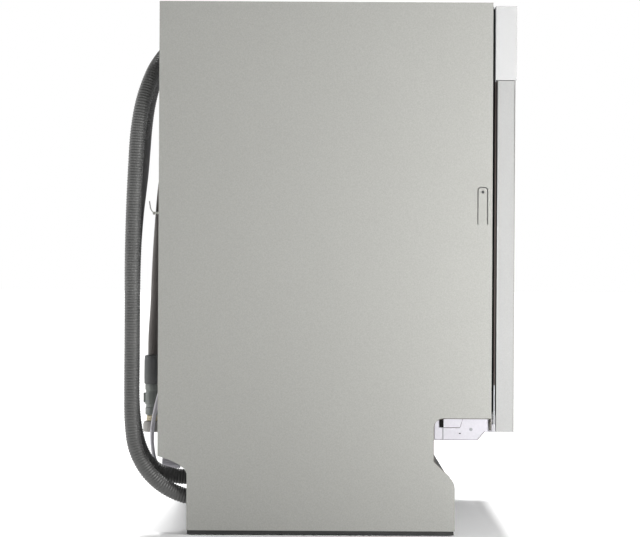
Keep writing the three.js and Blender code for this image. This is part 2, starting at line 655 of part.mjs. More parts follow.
function mainsPlug() {
  const { x, y, radius, pins, body, relief, top } = PLUG;
  return join(
    cylinder("z", radius, body, relief, x, y, 16),
    cylinder("z", 5, relief - 1, top, x, y, 10),
    cylinder("z", 2.4, pins, body + 1, x - 9.5, y, 8),
    cylinder("z", 2.4, pins, body + 1, x + 9.5, y, 8),
  );
}

// ---- Assembly -----------------------------------------------------------------------------------
const machine = new THREE.Group();

function buildCabinet() {
  const cabinet = new THREE.Group();
  for (const [name, side] of SIDES) {
    cabinet.add(piece(`side_panel_${name}`, sidePanel(side), "panelSteel"));
    cabinet.add(piece(`hinge_bracket_${name}`, hingeBracket(side), "galvanised"));
    cabinet.add(piece(`door_spring_${name}`, doorSpring(side), "stainless"));
  }
  cabinet.add(
    piece("top_cover", topCover(), "galvanised"),
    piece("front_crossbar", frontCrossbar(), "galvanised"),
    piece("rear_panel", rearPanel(), "galvanised"),
    piece("hose_clip", hoseClip(), "blackPlastic"),
    piece("base_tray", baseTray(), "blackPlastic"),
    piece("tub_wrap", tubWrap(), "stainless"),
    piece("tub_rear_wall", tubRearWall(), "stainless"),
    piece("tub_floor", tubFloor(), "stainless"),
    piece("tub_gasket", tubGasket(), "gasketRubber"),
    piece("spray_feed_pipe", sprayFeedPipe(), "greyPlastic"),
    piece("sump", sump(), "blackPlastic"),
    piece("circulation_pump", circulationPump(), "greyPlastic"),
    piece("drain_pump", drainPump(), "blackPlastic"),
    piece("water_softener", waterSoftener(), "whitePlastic"),
    piece("air_break_tank", airBreakTank(), "whitePlastic"),
    piece("inlet_valve", inletValve(), "leadGrey"),
    piece("terminal_box", terminalBox(), "blackPlastic"),
  );
  return cabinet;
}

function buildFeet() {
  const feet = new THREE.Group();
  const places = [
    ["foot_front_left", -FEET.x, FEET.frontY],
    ["foot_front_right", FEET.x, FEET.frontY],
    ["foot_rear", 0, FEET.rearY],
  ];
  for (const [name, x, y] of places) {
    const mesh = piece(name, foot(), "greyPlastic");
    mesh.position.set(x, y, 0);
    feet.add(mesh);
  }
  const rod = piece("rear_foot_rod", rearFootRod(), "galvanised");
  rod.position.set(0, 0, 30);
  feet.add(rod);
  return feet;
}

// The door's group turns about the hinge axis.
function buildDoor() {
  const door = new THREE.Group();
  door.position.set(0, PIVOT.y, PIVOT.z);
  const leaf = new THREE.Group();
  leaf.position.set(0, -PIVOT.y, -PIVOT.z);
  door.add(leaf);
  for (const [name, side] of SIDES) {
    leaf.add(piece(`hinge_arm_${name}`, hingeArm(side), "galvanised"));
  }
  leaf.add(
    piece("door_outer_panel", doorOuterPanel(), "panelSteel"),
    piece("door_fascia", doorFascia(), "paleFascia"),
    piece("door_inner_liner", doorInnerLiner(), "stainless"),
    piece("door_latch", doorLatch(), "galvanised"),
    piece("detergent_dispenser", dispenser(), "greyPlastic"),
    piece("dispenser_lid", dispenserLid(), "greyPlastic"),
  );
  const cap = piece("rinse_aid_cap", rinseAidCap(), "blackPlastic");
  cap.position.set(CAP.x, 0, CAP.z);
  leaf.add(cap);
  for (const [name, x] of BUTTONS) {
    const mesh = piece(name, button(), "greyPlastic");
    mesh.position.set(x, BUTTON.y, 0);
    leaf.add(mesh);
  }
  return door;
}

function buildUpperRack() {
  const rack = new THREE.Group();
  for (const [name, side] of SIDES) {
    rack.add(piece(`upper_rail_${name}`, rackRail(side), "stainless"));
  }
  rack.add(piece("upper_rack", upperRack(), "rackCoat"));
  const arm = piece("upper_spray_arm", sprayArm(ARM.upperZ), "greyPlastic");
  arm.position.set(0, ARM.y, 0);
  const shelf = piece("cup_shelf", cupShelf(), "rackCoat");
  shelf.position.set(-236, 0, 570);
  rack.add(arm, shelf);
  return rack;
}

function buildLowerRack() {
  const rack = new THREE.Group();
  rack.add(piece("lower_rack", lowerRack(), "rackCoat"), piece("cutlery_basket", cutleryBasket(), "greyPlastic"));
  const tines = piece("folding_tines", foldingTines(), "rackCoat");
  tines.position.set(0, -60, LOWER.floor + WIRE + 4);
  rack.add(tines);
  for (const [name, side] of SIDES) {
    for (const [end, y] of [["front", WHEEL.front], ["rear", WHEEL.rear]]) {
      const wheel = piece(`rack_wheel_${end}_${name}`, rackWheel(), "greyPlastic");
      wheel.position.set(side * WHEEL.x, y, WHEEL.z);
      rack.add(wheel);
    }
  }
  return rack;
}

function buildTubFittings() {
  const fittings = new THREE.Group();
  const arm = piece("lower_spray_arm", sprayArm(ARM.lowerZ), "greyPlastic");
  arm.position.set(0, ARM.y, 0);
  const filter = piece("filter_cylinder", filterCylinder(), "greyPlastic");
  filter.position.set(FILTER.x, FILTER.y, 0);
  fittings.add(arm, filter);
  return fittings;
}

function buildHoses() {
  const hoses = new THREE.Group();
  hoses.add(
    piece("drain_hose", tube(DRAIN_ROUTE, DRAIN_HOSE), "hoseGrey"),
    piece("drain_hose_end", drainHoseEnd(), "blackPlastic"),
    piece("inlet_hose", tube(INLET_ROUTE, INLET_HOSE), "hoseDark"),
    piece("inlet_coupling", inletCoupling(), "greyPlastic"),
    piece("power_cord", tube(LEAD_ROUTE, MAINS_LEAD), "leadGrey"),
    piece("power_cord_coil", leadCoil(), "leadGrey"),
    piece("mains_plug", mainsPlug(), "leadGrey"),
  );
  return hoses;
}

machine.add(
  buildCabinet(), buildFeet(), buildDoor(), buildUpperRack(), buildLowerRack(), buildTubFittings(),
  buildHoses(),
);

export default machine;
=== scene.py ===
"""A fully integrated dishwasher in a pale studio: finishes, hoses, racks and details round the CAD frame."""

import json
import math

import bmesh
import bpy
from mathutils import Matrix, Quaternion, Vector


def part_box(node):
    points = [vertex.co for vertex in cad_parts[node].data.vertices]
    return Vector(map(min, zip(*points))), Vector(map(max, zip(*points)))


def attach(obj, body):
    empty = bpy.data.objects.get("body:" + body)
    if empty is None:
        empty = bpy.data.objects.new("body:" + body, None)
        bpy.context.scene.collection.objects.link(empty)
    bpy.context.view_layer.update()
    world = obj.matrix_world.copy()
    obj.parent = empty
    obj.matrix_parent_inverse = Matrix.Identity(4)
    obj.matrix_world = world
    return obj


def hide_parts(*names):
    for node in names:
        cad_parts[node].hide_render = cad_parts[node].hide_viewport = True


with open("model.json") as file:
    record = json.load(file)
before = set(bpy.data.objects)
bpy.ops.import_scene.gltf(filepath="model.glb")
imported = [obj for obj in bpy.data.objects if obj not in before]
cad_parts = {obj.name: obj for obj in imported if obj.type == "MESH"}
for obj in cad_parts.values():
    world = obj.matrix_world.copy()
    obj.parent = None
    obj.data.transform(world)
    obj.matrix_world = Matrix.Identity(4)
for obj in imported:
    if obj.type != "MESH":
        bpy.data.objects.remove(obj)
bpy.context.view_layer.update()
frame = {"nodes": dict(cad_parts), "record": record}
MM = 0.001
NODES = frame["nodes"]

# ---- Driving places, in millimetres, as in the CAD -----------------------------------------------
DRAIN_RADIUS = 12.25
DRAIN_PITCH = 4.2
INLET_RADIUS = 8.25
LEAD_RADIUS = 3.25
DRAIN_ROUTE = [
    (-250, 212, 83.5), (-250, 232, 83.5), (-250, 256, 86), (-250, 278, 93.5), (-250, 295, 108),
    (-250, 306, 128), (-250, 313, 152), (-250, 317, 178), (-250, 319, 210), (-250, 319, 260),
    (-250, 319, 320), (-250, 319, 370), (-249, 318.5, 412), (-239, 318, 455), (-206, 318, 498),
    (-161, 318.5, 532), (-116, 319, 567), (-85, 319, 605), (-71, 317, 645), (-72, 311, 685),
    (-91, 299, 723), (-124, 283, 751), (-170, 266, 763), (-216, 270, 750), (-252, 287, 716),
    (-269, 301, 672), (-275, 309, 625), (-278, 313, 560), (-278, 315.5, 500), (-278, 317, 430),
    (-278, 317, 360), (-278, 317, 290), (-278, 317, 220), (-278, 316, 170), (-278, 310.5, 132),
    (-278, 296.5, 102), (-278, 277, 80), (-278, 254, 65), (-278, 232, 57.2), (-278, 218, 56), (-278, 206, 56),
]
INLET_ROUTE = [
    (-200, 262, 128.6), (-200, 261.8, 150), (-200, 256, 190), (-200, 249, 230), (-200, 248, 300),
    (-200, 248, 360), (-199, 248, 410), (-190, 248, 448), (-163, 248, 480), (-120, 248, 500),
    (-60, 248, 520), (0, 248, 541), (52, 248, 570), (80, 248, 610), (80, 248, 656), (50, 248, 692),
    (0, 248, 708), (-60, 248, 714), (-118, 248.5, 710), (-158, 251, 694), (-182, 256, 662),
    (-190, 263, 620), (-190, 270, 580), (-190, 277, 541), (-190, 281.5, 490), (-190, 285.5, 425),
    (-190, 288.5, 350), (-190, 291.5, 300), (-190, 291.8, 271.5),
]
LEAD_ROUTE = [
    (-225, 250.4, 84), (-225, 262, 84.6), (-225, 276, 91.5), (-225, 285, 107), (-225, 289, 128),
    (-225, 289.6, 150), (-225, 288, 167), (-225, 284.7, 186), (-224, 280, 206), (-219, 274, 226),
    (-210, 269, 244), (-196, 266.5, 260), (-180, 264, 275), (-166, 259, 291), (-157, 252.5, 307),
]


# ---- Curves --------------------------------------------------------------------------------------
def smoothstep(low, high, value):
    """Rises smoothly from 0 at low to 1 at high."""
    t = min(max((value - low) / (high - low), 0.0), 1.0)
    return t * t * (3 - 2 * t)


def centripetal(points, per_span=16):
    """A centripetal Catmull-Rom line through the points, as a list of vectors."""
    ends = [points[0] * 2 - points[1], *points, points[-1] * 2 - points[-2]]
    line = []
    for p0, p1, p2, p3 in zip(ends, ends[1:], ends[2:], ends[3:]):
        t1 = math.sqrt((p1 - p0).length)
        t2 = t1 + math.sqrt((p2 - p1).length)
        t3 = t2 + math.sqrt((p3 - p2).length)
        for k in range(per_span):
            t = t1 + (t2 - t1) * k / per_span
            a1 = p0 * (t1 - t) / t1 + p1 * t / t1
            a2 = p1 * (t2 - t) / (t2 - t1) + p2 * (t - t1) / (t2 - t1)
            a3 = p2 * (t3 - t) / (t3 - t2) + p3 * (t - t2) / (t3 - t2)
            b1 = a1 * (t2 - t) / t2 + a2 * t / t2
            b2 = a2 * (t3 - t) / (t3 - t1) + a3 * (t - t1) / (t3 - t1)
            line.append(b1 * (t2 - t) / (t2 - t1) + b2 * (t - t1) / (t2 - t1))
    line.append(points[-1].copy())
    return line


def length_of(line):
    return sum((b - a).length for a, b in zip(line, line[1:]))


def resample(line, step):
    """The line's points at even steps, both ends kept."""
    count = max(2, round(length_of(line) / step))
    target = length_of(line) / count
    found, walked, wanted = [line[0].copy()], 0.0, target
    for a, b in zip(line, line[1:]):
        span = (b - a).length
        while span > 0 and walked + span >= wanted and len(found) < count:
            found.append(a.lerp(b, (wanted - walked) / span))
            wanted += target
        walked += span
    found.append(line[-1].copy())
    return found


def mm(x, y, z):
    """A place given in millimetres, in metres."""
    return Vector((x, y, z)) * MM


def in_metres(points):
    return [mm(*point) for point in points]


# ---- Mesh building -------------------------------------------------------------------------------
def add_skin(bm, rings):
    """Quads between rings of the same count, with both ends closed."""
    for low, high in zip(rings, rings[1:]):
        for k in range(len(low)):
            after = (k + 1) % len(low)
            bm.faces.new((low[k], low[after], high[after], high[k]))
    bm.faces.new(list(reversed(rings[0])))
    bm.faces.new(rings[-1])


def add_tube(bm, line, radius, sides=12):
    """A tube along a line. The radius is a number in metres or a function of the ring's index."""
    size = radius if callable(radius) else lambda _: radius
    tangents = [(b - a).normalized() for a, b in zip(line, line[1:])]
    tangents.append(tangents[-1].copy())
    normal = tangents[0].orthogonal().normalized()
    rings, before = [], tangents[0]
    for i, centre in enumerate(line):
        along = (tangents[max(i - 1, 0)] + tangents[i]).normalized()
        normal = before.rotation_difference(along) @ normal
        normal = (normal - along * normal.dot(along)).normalized()
        before, side = along, along.cross(normal)
        ring = []
        for k in range(sides):
            angle = 2 * math.pi * k / sides
            offset = normal * math.cos(angle) + side * math.sin(angle)
            ring.append(bm.verts.new(centre + offset * size(i)))
        rings.append(ring)
    add_skin(bm, rings)


AXES = {
    "x": Matrix(((0, 0, 1), (1, 0, 0), (0, 1, 0))),
    "y": Matrix(((0, 1, 0), (0, 0, 1), (1, 0, 0))),
    "z": Matrix.Identity(3),
}


def add_lathe(bm, profile, centre, axis="z", segments=32, ripple=None):
    """A body of revolution. The profile is (radius, station) in millimetres, from axis to axis."""
    turn = AXES[axis]
    rings = []
    for radius, station in profile:
        if radius <= 0:
            rings.append([bm.verts.new(centre + turn @ Vector((0, 0, station * MM)))])
            continue
        ring = []
        for k in range(segments):
            angle = 2 * math.pi * k / segments
            r = radius * (1 + (ripple(k, station) if ripple else 0.0)) * MM
            around = Vector((r * math.cos(angle), r * math.sin(angle), station * MM))
            ring.append(bm.verts.new(centre + turn @ around))
        rings.append(ring)
    for low, high in zip(rings, rings[1:]):
        for k in range(segments):
            after = (k + 1) % segments
            if len(low) == 1 and len(high) == 1:
                continue
            if len(low) == 1:
                bm.faces.new((low[0], high[after], high[k]))
            elif len(high) == 1:
                bm.faces.new((low[k], low[after], high[0]))
            else:
                bm.faces.new((low[k], low[after], high[after], high[k]))


def add_box(bm, low, high, bevel=0.5, segments=2):
    """A box with rounded edges, its corners and bevel in millimetres."""
    corners = [mm(x, y, z) for x in (low[0], high[0]) for y in (low[1], high[1]) for z in (low[2], high[2])]
    verts = [bm.verts.new(c) for c in corners]
    quads = [(0, 1, 3, 2), (4, 6, 7, 5), (0, 4, 5, 1), (2, 3, 7, 6), (0, 2, 6, 4), (1, 5, 7, 3)]
    faces = [bm.faces.new([verts[i] for i in quad]) for quad in quads]
    if bevel:
        edges = list({e for f in faces for e in f.edges})
        bmesh.ops.bevel(bm, geom=edges, offset=bevel * MM, segments=segments, affect="EDGES", profile=0.5)


def add_prism(bm, outline, axis, start, end):
    """A flat outline in millimetres, extruded along an axis. X takes (y, z), Y (z, x), Z (x, y)."""
    turn = AXES[axis]
    rings = []
    for station in (start, end):
        rings.append([bm.verts.new(turn @ mm(a, b, station)) for a, b in outline])
    add_skin(bm, rings)


def spaced(low, high, step):
    """Even places from low to high, about a step apart."""
    count = max(1, round((high - low) / step))
    return [low + (high - low) * k / count for k in range(count + 1)]


def shade(obj, angle=35):
    """Smooth shading with edges sharper than the angle kept crisp."""
    for polygon in obj.data.polygons:
        polygon.use_smooth = True
    obj.data.set_sharp_from_angle(angle=math.radians(angle))


def add_object(name, data):
    obj = bpy.data.objects.new(name, data)
    bpy.context.collection.objects.link(obj)
    return obj


def add_mesh(name, bm, material):
    mesh = bpy.data.meshes.new(name)
    bm.to_mesh(mesh)
    bm.free()
    mesh.materials.append(material)
    return add_object(name, mesh)


def make(name, build, body, material, replaces=(), angle=35):
    """Builds one piece, gives it its finish and hangs it on its CAD body."""
    bm = bmesh.new()
    build(bm)
    bmesh.ops.recalc_face_normals(bm, faces=bm.faces)
    obj = add_mesh(name, bm, material)
    shade(obj, angle)
    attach(obj, body)
    if replaces:
        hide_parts(*replaces)
    return obj


# ---- Finishes ------------------------------------------------------------------------------------
def linear(color):
    """A display colour, 0 to 255, as linear light."""
    return [((c / 255 + 0.055) / 1.055) ** 2.4 if c > 10 else c / 255 / 12.92 for c in color]


NOISE_LOW, NOISE_HIGH = 0.3, 0.7  # nearly all of a noise node's values lie between these
ROUGHNESS_SCALE = 9  # the roughness pattern is this many times finer than the colour drift


def scaled(color, factor):
    return (*[min(c * factor, 1.0) for c in color], 1.0)


def finish_of(name, color, roughness, metallic=0.0, grain=(900, 0.05), blotch=(6, 0.04), bump=(1500, 0.05),
              stretch=(1, 1, 1), rough_spread=0.06, coat=0.0, specular=0.5):
    """A surface with fine grain, slow colour drift, uneven roughness and a little relief.

    The colour is as displayed, 0 to 255. Scales are per metre. grain and blotch pair a scale with an
    amount of brightness, bump a scale with a depth in millimetres."""
    mat = bpy.data.materials.new(name)
    mat.use_nodes = True
    tree = mat.node_tree
    shader = tree.nodes["Principled BSDF"]
    color = linear(color)
    shader.inputs["Metallic"].default_value = metallic
    shader.inputs["Coat Weight"].default_value = coat
    shader.inputs["Specular IOR Level"].default_value = specular
    link = tree.links.new
    place = tree.nodes.new("ShaderNodeTexCoord")
    mapping = tree.nodes.new("ShaderNodeMapping")
    mapping.inputs["Scale"].default_value = stretch
    link(place.outputs["Object"], mapping.inputs["Vector"])

    def noise(scale, detail):
        node = tree.nodes.new("ShaderNodeTexNoise")
        node.inputs["Scale"].default_value = scale
        node.inputs["Detail"].default_value = detail
        link(mapping.outputs["Vector"], node.inputs["Vector"])
        return node.outputs["Fac"]

    def ranged(source, low, high):
        node = tree.nodes.new("ShaderNodeMapRange")
        node.inputs["From Min"].default_value = NOISE_LOW
        node.inputs["From Max"].default_value = NOISE_HIGH
        node.inputs["To Min"].default_value = low
        node.inputs["To Max"].default_value = high
        link(source, node.inputs["Value"])
        return node.outputs["Result"]

    drift = tree.nodes.new("ShaderNodeMix")
    drift.data_type = "RGBA"
    drift.inputs["A"].default_value = scaled(color, 1 - blotch[1])
    drift.inputs["B"].default_value = scaled(color, 1 + blotch[1])
    link(ranged(noise(blotch[0], 3), 0, 1), drift.inputs["Factor"])
    speckle = tree.nodes.new("ShaderNodeMix")
    speckle.data_type = "RGBA"
    speckle.blend_type = "MULTIPLY"
    speckle.inputs["Factor"].default_value = 1.0
    link(drift.outputs["Result"], speckle.inputs["A"])
    level = tree.nodes.new("ShaderNodeCombineColor")
    fine = ranged(noise(grain[0], 2), 1 - grain[1], 1 + grain[1])
    for channel in ("Red", "Green", "Blue"):
        link(fine, level.inputs[channel])
    link(level.outputs["Color"], speckle.inputs["B"])
    link(speckle.outputs["Result"], shader.inputs["Base Color"])
    uneven = ranged(noise(blotch[0] * ROUGHNESS_SCALE, 4), roughness - rough_spread, roughness + rough_spread)
    link(uneven, shader.inputs["Roughness"])
    relief = tree.nodes.new("ShaderNodeBump")
    relief.inputs["Distance"].default_value = bump[1] * MM
    relief.inputs["Strength"].default_value = 1.0
    link(noise(bump[0], 2), relief.inputs["Height"])
    link(relief.outputs["Normal"], shader.inputs["Normal"])
    return mat


PANEL_STEEL = finish_of("satin_panel_steel", (145, 145, 141), 0.58, 0.1, (620, 0.07), (2.2, 0.008),
                        (1100, 0.012), specular=0.3)
DOOR_STEEL = finish_of("satin_door_steel", (149, 149, 148), 0.55, 0.1, (620, 0.04), (2.5, 0.008),
                       (1100, 0.012), specular=0.3)
DOOR_HEM = finish_of("door_hem_steel", (150, 150, 147), 0.45, 0.6, (500, 0.06), (4, 0.03))
GALVANISED = finish_of("galvanised_sheet", (204, 204, 207), 0.42, 0.5, (160, 0.03), (40, 0.02),
                       (260, 0.01))
STAINLESS = finish_of("brushed_stainless", (204, 205, 206), 0.32, 0.9, (420, 0.05), (3, 0.008),
                      (900, 0.004), (0.06, 1, 1), 0.02)
# dark edge colour: partly the bare sheet edge's own tint, partly painted shade lines at edges, folds and gaps
EDGE_AND_SHADE_LINE = finish_of("bare_edge_and_painted_shade_line", (70, 62, 58), 0.5, 0.6, (900, 0.08), (30, 0.1))
BRACKET = finish_of("pale_zinc_plate", (176, 174, 180), 0.42, 0.1, (300, 0.03), (20, 0.03))
BOLT_STEEL = finish_of("dark_bolt_steel", (92, 90, 86), 0.42, 0.9, (700, 0.08), (60, 0.1))
SPRING_STEEL = finish_of("spring_steel", (120, 120, 122), 0.35, 0.95, (900, 0.06), (30, 0.08))
FASCIA = finish_of("pale_fascia_moulding", (168, 168, 168), 0.46, 0.0, (1400, 0.02), (3, 0.015),
                   (2600, 0.012))
BLACK = finish_of("black_moulding", (34, 34, 34), 0.55, 0.0, (900, 0.14), (40, 0.16), (1500, 0.03))
GREY = finish_of("grey_moulding", (136, 138, 140), 0.46, 0.0, (900, 0.03), (20, 0.03), (1900, 0.015))
PALE = finish_of("natural_moulding", (222, 222, 214), 0.42, 0.0, (900, 0.02), (20, 0.02), (1500, 0.01))
RUBBER = finish_of("seal_rubber", (38, 38, 40), 0.72, 0.0, (1500, 0.12), (40, 0.12), (2200, 0.02))
# near-black foam; on the front seals its darkness also paints the shade inside the gap to the door
BLACK_FOAM_AND_GAP_SHADE = finish_of("black_foam_with_gap_shade", (15, 15, 15), 0.9, 0.0, (900, 0.2), (60, 0.2), specular=0.1)
LENS = finish_of("smoked_lens", (22, 24, 28), 0.12, 0.0, (900, 0.02), (20, 0.02), coat=0.6)
DRAIN_PLASTIC = finish_of("drain_hose_plastic", (76, 76, 75), 0.48, 0.0, (700, 0.08), (14, 0.12),
                          (1500, 0.02))
INLET_SHEATH = finish_of("inlet_hose_sheath", (92, 88, 85), 0.62, 0.0, (900, 0.12), (16, 0.1),
                         (1800, 0.04))
SLEEVE = finish_of("inlet_sleeve", (82, 84, 84), 0.6, 0.0, (900, 0.08), (30, 0.08), (1500, 0.03))
VALVE_GREEN = finish_of("valve_moulding", (112, 117, 113), 0.4, 0.0, (900, 0.05), (60, 0.1), (1500, 0.02))
BEIGE = finish_of("thread_moulding", (206, 196, 168), 0.42, 0.0, (900, 0.05), (60, 0.1), (1500, 0.02))
NUT = finish_of("nut_moulding", (148, 145, 141), 0.4, 0.0, (900, 0.05), (60, 0.08), (1500, 0.02))
SHEATH = finish_of("lead_sheath", (222, 220, 226), 0.46, 0.0, (1500, 0.04), (20, 0.04), (2200, 0.01))
RACK_COAT = finish_of("rack_coating", (158, 162, 168), 0.36, 0.0, (900, 0.03), (12, 0.03), (1500, 0.01))
BRASS_PIN = finish_of("plated_pin", (196, 190, 176), 0.22, 1.0, (900, 0.03), (60, 0.05))
FLOOR = finish_of("studio_floor", (252, 252, 252), 0.8, 0.0, (3, 0.005), (0.5, 0.005), (200, 0.01))


# ---- Camera --------------------------------------------------------------------------------------
VIEW_WIDTH = 0.9835  # metres of the near panel's plane, across the picture
CAMERA_DISTANCE = 2.9  # from the near panel
CAMERA_FROM_REAR = 0.2485  # in front of the near panel's rear edge
CAMERA_ROLL = 0.3
SENSOR_WIDTH = 36


def set_camera():
    low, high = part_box("side_panel_left")
    data = bpy.data.cameras.new("camera")
    data.sensor_width = SENSOR_WIDTH
    data.lens = SENSOR_WIDTH * CAMERA_DISTANCE / VIEW_WIDTH
    data.clip_start, data.clip_end = 0.05, 60
    camera = add_object("camera", data)
    camera.location = (low[0] - CAMERA_DISTANCE, high[1] - CAMERA_FROM_REAR, high[2] / 2)
    camera.rotation_mode = "QUATERNION"
    level = Vector((1, 0, 0)).to_track_quat("-Z", "Y")
    camera.rotation_quaternion = level @ Quaternion((0, 0, 1), math.radians(CAMERA_ROLL))
    bpy.context.scene.camera = camera


# ---- Hoses and lead ------------------------------------------------------------------------------
RIB = (0.92, 0.955, 1.0, 1.0, 0.955)  # the hose's rings along one corrugation, as shares of its crest
PLAIN_RINGS = 14  # at each end of the hose
PLAIN_SHARE = 0.93


def make_drain_hose():
    line = resample(centripetal(in_metres(DRAIN_ROUTE)), DRAIN_PITCH * MM / len(RIB))
    crest = 0.99 * DRAIN_RADIUS * MM

    def radius(i):
        inside = min(i, len(line) - 1 - i)
        return crest * (RIB[i % len(RIB)] if inside > PLAIN_RINGS else PLAIN_SHARE)

    cuff = make("drain_hose_cuff", drain_cuff, "cabinet", BLACK, ["drain_hose_end"])
    hose = make("corrugated_drain_hose", lambda bm: add_tube(bm, line, radius, 22), "cabinet",
                DRAIN_PLASTIC, ["drain_hose"], angle=60)
    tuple(line[0])
    length_of(line)


def drain_cuff(bm):
    """The hose's end cuff, beaded and flanged, with its bore open."""
    low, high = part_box("drain_hose_end")
    centre = Vector(((low[0] + high[0]) / 2, low[1], (low[2] + high[2]) / 2))
    depth = (high[1] - low[1]) / MM
    outside = [(9.5, 20), (9.5, 0), (12, 0), (12.4, 8), (13, 9), (13, 14), (12.4, 15), (13, 30), (14, 31)]
    mouth = [(14, depth), (12.6, depth), (12.6, depth - 4), (9.5, depth - 6), (9.5, 20)]
    add_lathe(bm, outside + mouth, centre, "y", 28)


WEAVE = (0.972, 0.985, 1.0, 0.985)  # the sheath's rings along one strand
WEAVE_STEP = 0.0008


def make_inlet_hose():
    line = resample(centripetal(in_metres(INLET_ROUTE)), WEAVE_STEP)
    outer = INLET_RADIUS * MM

    def tube(bm):
        add_tube(bm, line, lambda i: outer * WEAVE[i % len(WEAVE)], 18)

    hose = make("inlet_hose_tube", tube, "cabinet", INLET_SHEATH, ["inlet_hose"], 60)
    low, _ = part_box("inlet_coupling")
    foot = Vector((line[-1].x, line[-1].y, low[2]))
    parts = [
        make("inlet_sleeve", lambda bm: add_sleeve(bm, foot), "cabinet", SLEEVE,
             ["inlet_coupling"]),
        make("inlet_connector", lambda bm: add_connector(bm, foot), "cabinet", VALVE_GREEN),
        make("inlet_thread", lambda bm: add_thread(bm, foot), "cabinet", BEIGE),
        make("inlet_nut", lambda bm: add_nut(bm, foot), "cabinet", NUT),
    ]
    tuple(line[0])
    length_of(line)


def add_sleeve(bm, foot):
    """The swollen sleeve that joins the hose to its connector."""
    profile = [(0, 76), (13.2, 76), (13.9, 77), (14.1, 88), (13.9, 112), (13.2, 120.5), (11, 122), (0, 122)]
    add_lathe(bm, profile, foot)


def add_connector(bm, foot):
    """The connector's body, ribbed round its middle, with a lug at the rear."""
    profile = [(0, 27), (11.2, 27), (12, 28), (12, 38), (11, 39), (11, 43), (12.3, 44), (12.3, 60),
               (11.2, 62), (11.2, 66), (12.4, 67), (12.4, 73), (12, 75.6), (0, 75.6)]

    def ribs(k, z):
        return 0.02 * (k % 4 < 2) if 44 <= z <= 60 else 0.0

    add_lathe(bm, profile, foot, segments=48, ripple=ribs)
    x, y, z = (c / MM for c in foot)
    add_box(bm, (x - 3, y + 10.5, z + 46), (x + 3, y + 15, z + 62), 1.2)


def add_thread(bm, foot):
    """Four rings of thread between the connector and its nut."""
    first, pitch = 17.4, 2.3
    profile = [(0, first)]
    for turn in range(4):
        station = first + turn * pitch
        profile += [(9.6, station), (10.4, station + 0.9), (9.6, station + 1.8)]
    add_lathe(bm, profile + [(0, 26.7)], foot, segments=32)


def add_nut(bm, foot):
    """The union nut, open below and grooved for the hand."""
    profile = [(0, 11), (9.2, 11), (9.2, 0.6), (9.8, 0), (14.6, 0), (15.4, 1), (15.4, 12), (14.4, 14),
               (14.4, 15.4), (13, 16.8), (0, 16.8)]

    def grooves(k, z):
        return -0.03 * (k % 4 == 0) if 0.5 < z < 13 else 0.0

    add_lathe(bm, profile, foot, segments=72, ripple=grooves)


def coil_turns():
    """The lead's turns on its hook: three inwards in front, two outwards behind and a last half."""
    low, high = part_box("power_cord_coil")
    centre = (Vector(low) + Vector(high)) / 2
    pitch = 2 * LEAD_RADIUS * MM
    outer = (high[0] - low[0]) / 2 - 1.08 * LEAD_RADIUS * MM
    slots = [(0, 0.5), (1, 0.5), (2, 0.5), (2, -0.5), (1, -0.5), (0, -0.5)]
    per_turn = 48
    points = []
    for turn, (layer, side) in enumerate(slots):
        before = slots[max(turn - 1, 0)]
        last = turn == len(slots) - 1
        for k in range(per_turn // 2 + 1 if last else per_turn):
            mix = smoothstep(0, 0.25, k / per_turn) if turn else 1.0
            radius = outer - pitch * (before[0] + (layer - before[0]) * mix)
            depth = pitch * (before[1] + (side - before[1]) * mix)
            angle = math.pi - 2 * math.pi * k / per_turn
            points.append(centre + Vector((radius * math.cos(angle), depth, radius * math.sin(angle))))
    return points


def make_lead():
    turns = coil_turns()
    onto_coil = turns[0] + Vector((-0.0002, 0.0055, -0.0115))
    free = centripetal([*in_metres(LEAD_ROUTE), onto_coil, turns[0]], 10)
    low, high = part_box("mains_plug")
    socket = Vector(((low[0] + high[0]) / 2, (low[1] + high[1]) / 2, high[2] - 0.002))
    off_coil = turns[-1] + Vector((0.0004, 0.0012, -0.009))
    into_plug = socket + Vector((0, -0.0012, 0.009))
    tail = centripetal([turns[-1], off_coil, into_plug, socket], 8)
    line = resample(free[:-1] + turns[:-1] + tail, 0.0022)
    lead = make("mains_lead", lambda bm: add_tube(bm, line, LEAD_RADIUS * MM, 12), "cabinet",
                SHEATH, ["power_cord", "power_cord_coil"], angle=60)
    plug = make("mains_plug_body", lambda bm: add_plug(bm, socket), "cabinet", SHEATH,
                ["mains_plug"])
    pins = make("mains_plug_pins", lambda bm: add_pins(bm, socket), "cabinet", BRASS_PIN)
    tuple(line[0])
    length_of(line)


def add_plug(bm, top):
    """The plug's body, with a ringed strain relief above it."""
    profile = [(0, -61.5), (14.5, -61.5), (16.4, -60), (16.8, -56), (16.8, -44), (15.2, -34), (11.5, -24),
               (7.5, -18)]
    for ring in range(5):
        station = -17 + ring * 3.4
        profile += [(5.0, station), (5.0, station + 1.7), (4.2, station + 1.9), (4.2, station + 3.2)]
    add_lathe(bm, profile + [(4.0, 1.6), (0, 1.6)], top, segments=36)


def add_pins(bm, top):
    profile = [(0, -18.8), (1.2, -18.8), (2.1, -17.4), (2.4, -8), (2.4, 0), (0, 0)]
    for side in (-1, 1):
        add_lathe(bm, profile, top + Vector((side * 0.0095, 0, -0.0612)), segments=16)


set_camera()
make_drain_hose()
make_inlet_hose()
make_lead()


# ---- Small shapes used many times ----------------------------------------------------------------
def bent(points, radius=6):
    """A polyline with its inner corners rounded, in metres from millimetres."""
    line = [Vector(points[0])]
    for before, corner, after in zip(points, points[1:], points[2:]):
        before, corner, after = Vector(before), Vector(corner), Vector(after)
        reach = min(radius, (before - corner).length / 2, (after - corner).length / 2)
        start = corner + (before - corner).normalized() * reach
        end = corner + (after - corner).normalized() * reach
        for k in range(6):
            t = k / 5
            line.append(start * (1 - t) ** 2 + corner * 2 * t * (1 - t) + end * t * t)
    line.append(Vector(points[-1]))
    return [p * MM for p in line]


def add_wire(bm, points, radius=1.6, corner=6, sides=8):
    """A bent wire, all in millimetres."""
    add_tube(bm, bent(points, corner), radius * MM, sides)


